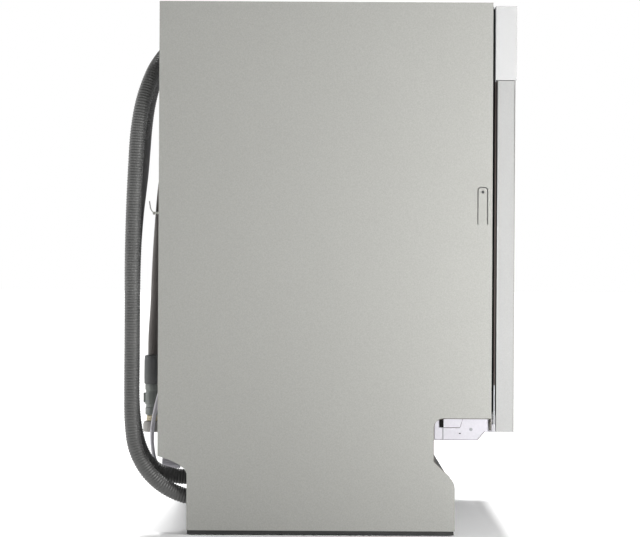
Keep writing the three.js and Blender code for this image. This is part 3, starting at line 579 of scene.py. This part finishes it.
def add_rim(bm, half, front, rear, z, radius):
    """A closed rectangular wire, its ends butted at the middle of the rear side."""
    left, right = [(-half, rear, z), (-half, front, z)], [(half, front, z), (half, rear, z)]
    add_wire(bm, [(0, rear, z), *left, *right, (0, rear, z)], radius, 14)


def add_screw(bm, x, y, z, axis, way=1, radius=3.6):
    """A pan-head screw with a socket, its head's foot on the given point."""
    dome = [(0, 0.5), (1.3, 0.5), (1.3, 1.9), (2.2, 1.85), (3.2, 1.3), (radius, 0.4), (radius, 0), (0, 0)]
    add_lathe(bm, [(r, way * s) for r, s in dome], mm(x, y, z), axis, 14)


def add_sweep(bm, path, profile):
    """A closed profile of (inset, y) swept along a path of (x, z), in millimetres."""
    rings = []
    for i, point in enumerate(path):
        before, after = path[max(i - 1, 0)], path[min(i + 1, len(path) - 1)]
        along = Vector((after[0] - before[0], after[1] - before[1])).normalized()
        inward = Vector((along.y, -along.x))
        ring = [mm(point[0] + inward.x * d, y, point[1] + inward.y * d) for d, y in profile]
        rings.append([bm.verts.new(place) for place in ring])
    add_skin(bm, rings)


def arch(half, bottom, top, radius, steps=10):
    """Up the left side, over the top and down the right, with round corners."""
    path = [(-half, bottom), (-half, (bottom + top) / 2)]
    for side, first in ((-1, math.pi), (1, math.pi / 2)):
        for k in range(steps + 1):
            angle = first - math.pi / 2 * k / steps
            across, up = radius * math.cos(angle), radius * math.sin(angle)
            path.append((side * (half - radius) + across, top - radius + up))
    return [*path, (half, (bottom + top) / 2), (half, bottom)]


def box_mm(node):
    """The low and high corners of a CAD node's box, in millimetres."""
    low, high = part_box(node)
    return [c / MM for c in low], [c / MM for c in high]


SIDES = (("left", -1), ("right", 1))


# ---- Cabinet -------------------------------------------------------------------------------------
def make_recess_shade_wires():
    """The bare edge of the sheet round the hinge recess of each side, drawn as a dark wire on the panel's
    face: partly the raw edge's own colour, partly painted shade along the edge.
    """
    for name, side in SIDES:
        low, high = box_mm(f"side_panel_{name}")
        face = side * (high[0] if side > 0 else -low[0])
        x = face - side * 0.75
        front = low[1]
        recess = [(x, front, 180.4), (x, -164.5, 180.4), (x, -152, 177), (x, -149.4, 165), (x, -149.4, 114),
                  (x, -174.3, 89.6)]
        make(f"recess_edge_shade_line_{name}", lambda bm, p=recess: add_wire(bm, p, 0.7, 8, 8), "cabinet",
             EDGE_AND_SHADE_LINE)


def make_sound_mats():
    """Sound-damping mats on the outside of the tub."""
    _, high = box_mm("tub_wrap")
    side_x = high[0]

    def build(bm):
        for side in (-1, 1):
            inner, outer = sorted((side * (side_x + 0.4), side * (side_x + 3)))
            add_box(bm, (inner, -205, 300), (outer, 200, 500), 0.8)
            add_box(bm, (inner, -205, 590), (outer, 200, 760), 0.8)
        add_box(bm, (-250, -190, high[2] + 0.4), (250, 190, high[2] + 3), 0.8)

    make("sound_mats", build, "cabinet", RUBBER)


def make_gasket():
    """The lipped rubber seal round the tub's mouth."""
    low, high = box_mm("tub_gasket")
    path = arch(high[0], low[2], high[2], 22)
    rear, front = high[1], low[1]
    profile = [(0, rear), (10, rear), (10.5, rear - 1.6), (13.5, rear - 2), (16.4, front + 2.4),
               (15.6, front + 0.4), (12, front + 1), (9, front), (4, front), (1.5, front + 1), (0, front + 3)]
    make("tub_gasket_profile", lambda bm: add_sweep(bm, path, profile), "cabinet", RUBBER,
         ["tub_gasket"], 50)


def make_bracket_details():
    """Step, fold lines painted as shade, stop, a grey strip painted as the shadow at the plate's edge, and
    rivet on the outer plate of each hinge bracket.
    """
    for name, side in SIDES:
        low, high = box_mm(f"hinge_bracket_{name}")
        plate = high[0] if side > 0 else -low[0]

        def at(depth, side=side, plate=plate):
            return side * (plate + depth)

        def spread(y0, y1, z0, z1, depth, start=0.0, at=at):
            near, far = sorted((at(start), at(start + depth)))
            return (near, min(y0, y1), z0), (far, max(y0, y1), z1)

        def step(bm, at=at):
            outline = [(-150.5, 166.8), (-189.9, 166.8), (-193.9, 180), (-196, 200), (-150.5, 200)]
            add_prism(bm, outline, "x", at(0), at(1.0))

        # Dark wires along the folds: painted shade lines.
        def lines(bm, at=at):
            upper = [(-164.7, 166.3), (-189.9, 166.3), (-194, 180)]
            lower = [(-151, 147.5), (-216.5, 147.5), (-228, 160.4)]
            add_wire(bm, [(at(0.5), y, z) for y, z in upper], 0.42, 1, 6)
            add_wire(bm, [(at(0.3), y, z) for y, z in lower], 0.35, 1, 6)

        def dark(bm, spread=spread):
            add_box(bm, *spread(-158, -164.7, 166.6, 180, 0.6, 1.0), 0.2)
            add_box(bm, *spread(-188.4, -191.2, 156.8, 158.2, 0.5), 0.2)

        # A grey strip painted as the shadow along the plate's edge, and the rivet.
        def grey(bm, spread=spread, at=at, side=side):
            add_box(bm, *spread(-163.3, -164.9, 148.6, 166, 0.5), 0.15)
            profile = [(0, 0), (2.65, 0), (2.65, 0.2), (1.2, 0.2), (1.0, 0.7), (0, 0.7)]
            add_lathe(bm, [(r, side * h) for r, h in profile], mm(at(0), -206.9, 163.8), "x", 20)

        make(f"bracket_step_{name}", step, "cabinet", BRACKET)
        make(f"bracket_fold_shade_lines_{name}", lines, "cabinet", EDGE_AND_SHADE_LINE)
        make(f"bracket_stop_{name}", dark, "cabinet", BLACK_FOAM_AND_GAP_SHADE)
        make(f"bracket_edge_shadow_and_rivet_{name}", grey, "cabinet", GREY)


COVER_SCREW = [(0, 0), (3.4, 0), (3.4, 0.3), (2.4, 0.7), (0, 0.7)]


def make_rear_fixings():
    """Screws along the rear panel's edges, the top cover's corners and the base's rear edge."""
    panel_low, panel_high = box_mm("rear_panel")
    cover_low, cover_high = box_mm("top_cover")
    face = 229.0  # of the panel's sheet, between its pressed ribs
    left_row_from = 640  # below this the drain hose's far leg covers the left row

    def build(bm):
        for z in spaced(panel_low[2] + 30, panel_high[2] - 20, 105):
            for side in (-1, 1):
                if side > 0 or z > left_row_from:
                    add_screw(bm, side * 276, face, z, "y")
        for x in (-240, 240):
            for y in (cover_low[1] + 14, cover_high[1] - 14):
                add_lathe(bm, COVER_SCREW, mm(x, y, cover_high[2]), "z", 14)
        for x in spaced(-150, 230, 95):
            add_screw(bm, x, face, panel_low[2] + 9, "y")

    make("cabinet_screws", build, "cabinet", BOLT_STEEL)


def make_cable_tie():
    """A tie round the returning leg of the inlet hose, its tail standing out behind."""
    def build(bm):
        band = [(8.5, -1.8), (9.3, -1.8), (9.3, 1.8), (8.5, 1.8), (8.5, -1.8)]
        add_lathe(bm, band, mm(-190, 281.2, 497), "z", 28)
        add_box(bm, (-192.5, 289.6, 494.4), (-187.5, 293.4, 499.6), 0.6)
        add_wire(bm, [(-190, 292, 497), (-190, 297, 503), (-189, 299, 516)], 0.9, 4, 6)

    make("cable_tie", build, "cabinet", PALE)


def make_front_seals_and_gap_shade():
    """Foam strips on the folded front edges of the sides, which close the gap to the door, made near-black so
    they also paint the shade inside the gap.
    """
    def build(bm):
        for side in (-1, 1):
            near, far = sorted((side * 284.8, side * 291))
            add_box(bm, (near, -241, 250), (far, -238.1, 811), 0.8)

    make("front_gap_seals_and_shade", build, "cabinet", BLACK_FOAM_AND_GAP_SHADE)


def make_valve_parts():
    """The dark cap over the inlet valve's end and the collar round its port."""
    low, high = box_mm("inlet_valve")
    axis_x, axis_z = (low[0] + high[0]) / 2, 101
    port_x, port_y, _ = INLET_ROUTE[0]

    def cap(bm):
        profile = [(0, -5), (8.6, -5), (9.8, -4), (9.8, 9), (9.3, 9.4), (0, 9.4)]
        add_lathe(bm, profile, mm(axis_x, low[1], axis_z), "y", 28)

    def collar(bm):
        profile = [(0, -6), (9.6, -6), (9.9, -5), (9.9, -1), (9.2, -0.2), (0, -0.2)]
        add_lathe(bm, profile, mm(port_x, port_y, high[2]), "z", 28)

    make("inlet_valve_cap", cap, "cabinet", BLACK)
    make("inlet_valve_collar", collar, "cabinet", NUT)


# ---- Door ----------------------------------------------------------------------------------------
def make_door_edges():
    """The folded edges of the outer panel, and a dark strip on the liner's edge behind them, painted shade in
    the gap between door and side.
    """
    low, high = box_mm("door_outer_panel")
    liner_low, liner_high = box_mm("door_inner_liner")

    def build(bm):
        for side in (-1, 1):
            face = side * high[0]
            near, far = sorted((face - side * 0.6, face + side * 0.25))
            add_box(bm, (near, low[1] + 0.05, low[2] + 1), (far, low[1] + 1.5, high[2] - 0.4), 0.2)
            add_box(bm, (near, high[1] - 1.2, low[2] + 32), (far, high[1], high[2] - 0.4), 0.2)

    # A dark strip on the liner's side edge: painted shade where the gap lies in shadow.
    def liner_gap_shade(bm):
        for side in (-1, 1):
            near, far = sorted((side * (liner_high[0] - 0.4), side * (liner_high[0] + 0.3)))
            add_box(bm, (near, liner_low[1] - 0.1, 232), (far, liner_low[1] + 1.6, high[2] - 2), 0.2)

    make("door_folded_edges", build, "door", DOOR_HEM)
    make("liner_gap_painted_shade", liner_gap_shade, "door", EDGE_AND_SHADE_LINE)


def make_hinge_ends():
    """The end of each hinge arm, its bolt and its slide block, seen between bracket and door."""
    for name, side in SIDES:
        x0, x1 = sorted((side * 293.5, side * 296.9))

        def build(bm, x0=x0, x1=x1, side=side):
            add_box(bm, (x0, -238.3, 162.2), (x1, -234.6, 180), 0.5)
            head = [(r, side * s) for r, s in ((0, 0), (2.7, 0), (2.7, 1.4), (1.6, 1.9), (0, 1.9))]
            add_lathe(bm, head, mm(side * 296.9, -236.4, 174), "x", 6)

        def block(bm, x0=x0, x1=x1):
            add_box(bm, (x0, -243.4, 160.8), (x1, -238.5, 172), 0.6)

        make(f"hinge_end_{name}", build, "door", BOLT_STEEL)
        make(f"hinge_slide_{name}", block, "door", BRACKET)


def make_furniture_fixings():
    """Plugged holes for the furniture door: two columns, with a slotted rail near the top."""
    low, _ = box_mm("door_outer_panel")
    face = low[1]
    plug = [(0, -0.25), (2.2, -0.3), (4.2, -0.3), (4.6, 0), (4.6, 0.6), (0, 0.6)]

    def plugs(bm):
        for x in (-262, 262):
            for z in (205, 262, 470, 560, 640):
                add_lathe(bm, plug, mm(x, face, z), "y", 20)
        for x in (-205, 205):
            add_box(bm, (x - 14, face - 0.3, 664), (x + 14, face + 0.4, 671), 0.3)

    make("furniture_door_plugs", plugs, "door", BLACK)


def make_liner_ribs():
    """Shallow pressed ribs on the inner door, above and below the dispenser."""
    _, high = box_mm("door_inner_liner")
    face = high[1]

    def build(bm):
        for z in (268, 330, 392, 610, 660, 710):
            rib = [(face - 0.2, z - 10), (face + 0.5, z - 5), (face + 0.5, z + 5), (face - 0.2, z + 10)]
            add_prism(bm, rib, "x", -215, 215)

    make("liner_ribs", build, "door", STAINLESS)


def make_dispenser_details():
    """A raised frame round the dispenser, and grips on its lid and on the rinse-aid cap."""
    low, high = box_mm("detergent_dispenser")
    lid_low, lid_high = box_mm("dispenser_lid")
    cap_low, cap_high = box_mm("rinse_aid_cap")
    face = high[1]

    def frame_ring(bm):
        left, right, bottom, top, width = low[0] + 3, high[0] - 3, low[2] + 3, high[2] - 3, 3
        bars = ((left, right, bottom, bottom + width), (left, right, top - width, top),
                (left, left + width, bottom + width, top - width),
                (right - width, right, bottom + width, top - width))
        for x0, x1, z0, z1 in bars:
            add_box(bm, (x0, face - 0.4, z0), (x1, face + 0.8, z1), 0.4)

    def lid_grips(bm):
        for k in range(5):
            x = lid_low[0] + 10 + k * 4
            foot = (x, lid_high[1] - 0.4, lid_low[2] + 30)
            add_box(bm, foot, (x + 1.6, lid_high[1] + 0.9, lid_high[2] - 30), 0.4)

    def cap_grips(bm):
        centre = Vector(((cap_low[0] + cap_high[0]) / 2, 0, (cap_low[2] + cap_high[2]) / 2))
        reach, half, count = (cap_high[0] - cap_low[0]) / 2 - 1.2, 0.7, 24
        for k in range(count):
            angle = 2 * math.pi * k / count
            x, _, z = centre + Vector((math.cos(angle), 0, math.sin(angle))) * reach
            add_box(bm, (x - half, cap_high[1] - 6, z - half), (x + half, cap_high[1] - 4.6, z + half), 0.2)

    make("dispenser_frame", frame_ring, "door", GREY)
    make("dispenser_lid_grips", lid_grips, "dispenser_lid", GREY)
    make("rinse_cap_grips", cap_grips, "rinse_cap", BLACK)


def make_indicators():
    """A row of small dark lenses between the door's top buttons, and a display window."""
    _, high = box_mm("door_fascia")
    dome = [(0, 0), (2.4, 0), (2.4, 0.3), (1.6, 0.55), (0, 0.6)]

    def build(bm):
        for k in range(6):
            add_lathe(bm, dome, mm(-90 + k * 30, -259, high[2]), "z", 20)
        add_box(bm, (110, -266, high[2] - 0.3), (170, -252, high[2] + 0.4), 0.3)

    make("indicator_lenses", build, "door", LENS)


# ---- Racks ---------------------------------------------------------------------------------------
def add_basket(bm, half, front, rear, floor, rim, radius, step):
    """A wire basket: bent wires both ways, a thick rim and a thinner belt."""
    side, near, far = half - radius, front + radius, rear - radius
    for y in spaced(front + 18, rear - 18, step):
        add_wire(bm, [(-side, y, rim), (-side, y, floor), (side, y, floor), (side, y, rim)], radius)
    under = floor - 2 * radius + 0.3
    for x in spaced(-half + 24, half - 24, step):
        add_wire(bm, [(x, near, rim), (x, near, under), (x, far, under), (x, far, rim)], radius)
    add_rim(bm, side, near, far, rim, radius * 1.45)
    add_rim(bm, side, near, far, (floor + rim) / 2, radius)


def make_upper_rack():
    """The upper basket, its side plates, and the feed pipe and hub that carry its spray arm."""
    low, _ = box_mm("upper_rack")
    half, front, rear, floor, rim = 245, low[1], 195, 512.5, 598.5
    hub = [(0, 490.4), (9, 490.4), (9, 497), (7, 500), (7, 512), (0, 512)]
    pipe = [(0, -5), (9, -5), (9, 186), (11, 188), (11, 197.1), (0, 197.1)]

    def wires(bm):
        add_basket(bm, half, front, rear, floor, rim, 1.6, 33)
        for x in (-100, -34, 32, 98, 164):
            for y in spaced(front + 40, rear - 40, 36):
                add_wire(bm, [(x, y, floor), (x + 3, y, floor + 46)], 1.5, 1, 6)

    def fittings(bm):
        for side in (-1, 1):
            near, far = sorted((side * (half - 1), side * 253.7))
            add_box(bm, (near, -60, 540), (far, 60, 602), 3, 3)
        add_lathe(bm, hub, mm(0, -5, 0), "z", 28)
        add_lathe(bm, pipe, mm(0, 0, 500), "y", 28)

    make("upper_rack_wires", wires, "upper_rack", RACK_COAT, ["upper_rack"], 60)
    make("upper_rack_fittings", fittings, "upper_rack", GREY)


def make_lower_rack():
    """The lower basket, its fixed tines, and the legs that hold its wheels."""
    low, _ = box_mm("lower_rack")
    half, front, rear, floor, rim = 255, low[1], 195, 233.8, 348
    wheel_y = (-128, 120)

    def wires(bm):
        add_basket(bm, half, front, rear, floor, rim, 1.7, 34)
        for y in (60, 105, 150):
            for x in spaced(-215, 115, 33):
                add_wire(bm, [(x, y, floor), (x, y + 6, floor + 62)], 1.5, 1, 6)
            add_wire(bm, [(-225, y, floor + 1.5), (125, y, floor + 1.5)], 1.6, 1, 6)

    def legs(bm):
        for side in (-1, 1):
            for y in wheel_y:
                inner, outer = sorted((side * 234, side * 239))
                add_box(bm, (inner, y - 6, 199), (outer, y + 6, 236), 1.2)
                axle = [(0, 0), (3.9, 0), (3.9, side * 14.5), (0, side * 14.5)]
                add_lathe(bm, axle, mm(side * 238, y, 205), "x", 16)

    make("lower_rack_wires", wires, "lower_rack", RACK_COAT, ["lower_rack"], 60)
    make("lower_rack_legs", legs, "lower_rack", GREY)


def make_cup_shelf():
    """A wire shelf on its pivot rod."""
    _, high = box_mm("cup_shelf")
    x0, z = -236, 570
    x1 = high[0] - 1.7

    def build(bm):
        add_wire(bm, [(x0, -157, z), (x0, 67, z)], 2.4, 1)
        add_wire(bm, [(x0, -148, z), (x1, -148, z), (x1, 58, z), (x0, 58, z)], 1.7, 10)
        for y in spaced(-148, 58, 23)[1:-1]:
            add_wire(bm, [(x0, y, z), (x1, y, z)], 1.4, 1, 6)

    make("cup_shelf_wires", build, "cup_shelf", RACK_COAT, ["cup_shelf"], 60)


def make_folding_tines():
    """A row of tines on their pivot rod, each with a rounded tip."""
    y, pivot, tip = -60, 238, 321
    cap = [(0, 320), (1.9, 320.4), (1.9, 321.6), (0, 322.6)]

    def build(bm):
        add_wire(bm, [(-224, y, pivot), (119, y, pivot)], 1.9, 1)
        for k in range(11):
            x = -215 + 33 * k
            add_wire(bm, [(x, y, pivot), (x, y, tip)], 1.6, 1)
            add_lathe(bm, cap, mm(x, y, 0), "z", 10)

    make("folding_tine_wires", build, "tines", RACK_COAT, ["folding_tines"], 60)


def make_cutlery_basket():
    """Upright slats, three belts and a slatted floor, with a wall across the middle."""
    low, high = box_mm("cutlery_basket")
    wall_y = -71

    def build(bm):
        x0, y0, z0 = (c + 1 for c in low)
        x1, y1, z1 = (c - 1 for c in high)
        for x in (x0, x1):
            for y in spaced(y0, y1, 9):
                add_box(bm, (x - 0.9, y - 1, z0), (x + 0.9, y + 1, z1), 0)
        for y in (y0, wall_y, y1):
            for x in spaced(x0, x1, 9):
                add_box(bm, (x - 1, y - 0.9, z0), (x + 1, y + 0.9, z1), 0)
        for z in (z0 + 1.5, (z0 + z1) / 2, z1 - 2.5):
            for x in (x0, x1):
                add_box(bm, (x - 1, y0 - 1, z - 2), (x + 1, y1 + 1, z + 2), 0.5)
            for y in (y0, wall_y, y1):
                add_box(bm, (x0 - 1, y - 1, z - 2), (x1 + 1, y + 1, z + 2), 0.5)
        for y in spaced(y0 + 4, y1 - 4, 9):
            add_box(bm, (x0, y - 1.2, z0 - 0.9), (x1, y + 1.2, z0 + 1), 0)
        for x in spaced(x0 + 9, x1 - 9, 16):
            add_box(bm, (x - 1.2, y0, z0 - 0.9), (x + 1.2, y1, z0 + 0.8), 0)

    make("cutlery_basket_slats", build, "cutlery_basket", GREY, ["cutlery_basket"])


def make_wheels():
    """The lower rack's wheels, dished on both faces."""
    for end in ("front", "rear"):
        for name, _ in SIDES:
            low, high = box_mm(f"rack_wheel_{end}_{name}")
            middle = (Vector(low) + Vector(high)) / 2
            half = (high[0] - low[0]) / 2
            rim = (high[2] - low[2]) / 2
            flank = [(4.2, half), (7, half), (7.5, half - 2), (rim - 4, half - 2), (rim - 3, half),
                     (rim - 0.8, half), (rim, half - 1)]
            profile = [(r, -s) for r, s in flank] + flank[::-1] + [(4.2, -half)]

            def tyre(bm, centre=middle * MM, profile=profile):
                add_lathe(bm, profile, centre, "x", 36)

            make(f"wheel_{end}_{name}_tyre", tyre, f"wheel_{end}_{name}", GREY,
                 [f"rack_wheel_{end}_{name}"])


def make_rail_fittings():
    """Rollers on the tub's sides that carry the upper rails, and the rails' end stops."""
    roller = [(0, 0), (2.5, 0), (2.5, 6), (5.6, 6), (5.6, 15), (3, 16.5), (3, 23.5), (0, 23.5)]

    def rollers(bm):
        for side in (-1, 1):
            for y in (-196, -130):
                profile = [(r, side * s) for r, s in roller]
                add_lathe(bm, profile, mm(side * 257.2, y, 568), "x", 20)

    def stops(bm):
        low, high = box_mm("upper_rail_left")
        for side in (-1, 1):
            inner, outer = sorted((side * 255.7, side * 266))
            for y0, y1 in ((low[1] - 3, low[1] + 1), (high[1] - 1, high[1] + 3)):
                add_box(bm, (inner, y0, low[2]), (outer, y1, high[2]), 0.8)

    make("rail_rollers", rollers, "cabinet", PALE)
    make("rail_end_stops", stops, "upper_rails", GREY)


# ---- Spray arms, filter and feet -----------------------------------------------------------------
def make_spray_arm(prefix, node, body):
    """A tapered blade with a round hub, and nozzles alternately to either side of its middle."""
    low, high = box_mm(node)
    reach, middle, half = high[0], (low[1] + high[1]) / 2, (high[1] - low[1]) / 2
    base, thick = low[2], high[2] - low[2]

    spine = base + thick * 0.46
    rounding = 6  # length of the blade's rounded tips
    sides = 20

    def height(x):
        """Half the blade's thickness, before its tips are rounded."""
        return thick / 2 * (0.62 + 0.3 * (1 - abs(x) / reach))

    def closing(x):
        """1 along the blade, falling round its tips."""
        past = abs(x) - reach + rounding
        return min(1.0, math.sqrt(max(0.04, 1 - (past / rounding) ** 2))) if past > 0 else 1.0

    def blade(bm):
        rings = []
        inner = spaced(-reach + 16, reach - 16, 14)
        for x in [-reach, -reach + 1.5, -reach + 5, *inner, reach - 5, reach - 1.5, reach]:
            wide = half * (0.55 + 0.4 * (1 - abs(x) / reach)) * closing(x)
            tall = height(x) * closing(x)
            ring = []
            for k in range(sides):
                angle = 2 * math.pi * k / sides
                c, s = math.cos(angle), math.sin(angle)
                y = wide * math.copysign(abs(c) ** 0.75, c)
                z = tall * math.copysign(abs(s) ** 0.6, s)
                ring.append(bm.verts.new(mm(x, middle + y, spine + z)))
            rings.append(ring)
        add_skin(bm, rings)
        hub = [(0, 0.2), (16, 0.2), (20, 2), (20, thick - 3), (15, thick - 0.6), (0, thick - 0.2)]
        add_lathe(bm, hub, mm(0, middle, base), "z", 40)

    def nozzles(bm):
        nozzle = [(0, -1), (2.6, -1), (2.6, 0.25), (1.2, 0.25), (1.2, -0.4), (0, -0.4)]
        for k, x in enumerate((-176, -148, -116, -84, -50, 50, 84, 116, 148, 176)):
            y = middle + (4 if k % 2 else -4)
            add_lathe(bm, nozzle, mm(x, y, spine + height(x)), "z", 14)

    make(f"{prefix}_blade", blade, body, GREY, [node], 40)
    make(f"{prefix}_nozzles", nozzles, body, BLACK)


def make_foot(body):
    """A round pad under a threaded stem."""
    low, high = box_mm(body)
    centre = mm((low[0] + high[0]) / 2, (low[1] + high[1]) / 2, 0)
    foot, pad, core = low[2], (high[0] - low[0]) / 2, 5.2
    profile = [(0, foot), (pad - 1, foot), (pad, foot + 1), (pad, foot + 5), (pad - 2, foot + 8),
               (core, foot + 8)]
    for station in spaced(foot + 10, high[2] - 2, 2):
        profile += [(core, station), (core - 0.7, station + 1)]
    profile.append((0, high[2]))
    make(f"{body}_screw", lambda bm: add_lathe(bm, profile, centre, "z", 24), body, GREY,
         [body], 40)


def make_filter_grip():
    """Small grips round the filter's upper rim."""
    low, high = box_mm("filter_cylinder")
    middle = ((low[0] + high[0]) / 2, (low[1] + high[1]) / 2)
    reach, count = 34, 28

    def build(bm):
        for k in range(count):
            angle = 2 * math.pi * k / count
            x, y, _ = Vector((middle[0] + reach * math.cos(angle), middle[1] + reach * math.sin(angle), 0))
            add_box(bm, (x - 1, y - 1, 189.6), (x + 1, y + 1, 191.4), 0.3)

    make("filter_rim_grips", build, "filter", GREY)


# ---- Finishes for the CAD parts that stay --------------------------------------------------------
def dress_nodes():
    """Every shown CAD node takes its slot's finish, apart from a few with their own."""
    by_slot = {
        "panel_steel": PANEL_STEEL, "galvanised": GALVANISED, "stainless": STAINLESS,
        "spring_steel": SPRING_STEEL, "pale_fascia": FASCIA, "black_plastic": BLACK, "grey_plastic": GREY,
        "white_plastic": PALE, "valve_plastic": VALVE_GREEN, "gasket_rubber": RUBBER,
        "drain_hose_plastic": DRAIN_PLASTIC, "inlet_hose_rubber": INLET_SHEATH, "rack_coating": RACK_COAT,
        "lead_sheath": SHEATH,
    }
    own = {
        "door_outer_panel": DOOR_STEEL, "inlet_valve": BRACKET, "hinge_bracket_left": BRACKET,
        "hinge_bracket_right": BRACKET,
    }
    for part in frame["record"]["subparts"]:
        obj = NODES[part["node"]]
        obj.data.materials.clear()
        obj.data.materials.append(own.get(part["node"], by_slot[part["material_slot"]]))


# ---- Floor and light -----------------------------------------------------------------------------
def make_floor():
    bm = bmesh.new()
    reach, height = 30, -0.0005
    corners = ((-reach, -reach), (reach, -reach), (reach, reach), (-reach, reach))
    bm.faces.new([bm.verts.new((x, y, height)) for x, y in corners])
    add_mesh("floor", bm, FLOOR)


def add_lamp(name, kind, energy, direction):
    light = bpy.data.lights.new(name, kind)
    light.energy = energy
    lamp = add_object(name, light)
    lamp.rotation_mode = "QUATERNION"
    lamp.rotation_quaternion = direction.to_track_quat("-Z", "Y")
    return lamp


def add_area(name, location, target, size, energy):
    lamp = add_lamp(name, "AREA", energy, Vector(target) - Vector(location))
    lamp.location = location
    lamp.data.size = size


SURFACE_GLOW, BACKDROP_GLOW = 0.28, 1.0  # how bright the world is to the surfaces and to the camera


def set_light():
    """A white world, a slanting sun from the right side and three area lights."""
    scene = bpy.context.scene
    scene.view_settings.view_transform = "Standard"
    world = bpy.data.worlds.new("studio")
    world.use_nodes = True
    scene.world = world
    tree = world.node_tree
    back = tree.nodes["Background"]
    path = tree.nodes.new("ShaderNodeLightPath")
    level = tree.nodes.new("ShaderNodeMapRange")
    level.inputs["To Min"].default_value = SURFACE_GLOW
    level.inputs["To Max"].default_value = BACKDROP_GLOW
    tree.links.new(path.outputs["Is Camera Ray"], level.inputs["Value"])
    tree.links.new(level.outputs["Result"], back.inputs["Strength"])
    back.inputs["Color"].default_value = (1, 1, 1, 1)
    sun = add_lamp("overhead", "SUN", 4.2, Vector((-0.65, 0, -0.76)))
    sun.data.angle = math.radians(10)
    add_area("key", (-1.05, -1.25, 0.28), (-0.3, -0.2, 0.32), 0.8, 42)
    add_area("rear_side", (-1.0, 2.2, 0.35), (-0.2, 0.3, 0.2), 0.7, 7)
    add_area("rear_fill", (0.8, 3.0, 1.4), (0, 0.3, 0.45), 1.6, 30)


make_recess_shade_wires()
make_sound_mats()
make_gasket()
make_bracket_details()
make_rear_fixings()
make_cable_tie()
make_front_seals_and_gap_shade()
make_valve_parts()
make_door_edges()
make_hinge_ends()
make_furniture_fixings()
make_liner_ribs()
make_dispenser_details()
make_indicators()
make_upper_rack()
make_lower_rack()
make_cup_shelf()
make_folding_tines()
make_cutlery_basket()
make_wheels()
make_rail_fittings()
make_spray_arm("upper_arm", "upper_spray_arm", "upper_arm")
make_spray_arm("lower_arm", "lower_spray_arm", "lower_arm")
for foot in ("foot_front_left", "foot_front_right", "foot_rear"):
    make_foot(foot)
make_filter_grip()
dress_nodes()
make_floor()
set_light()
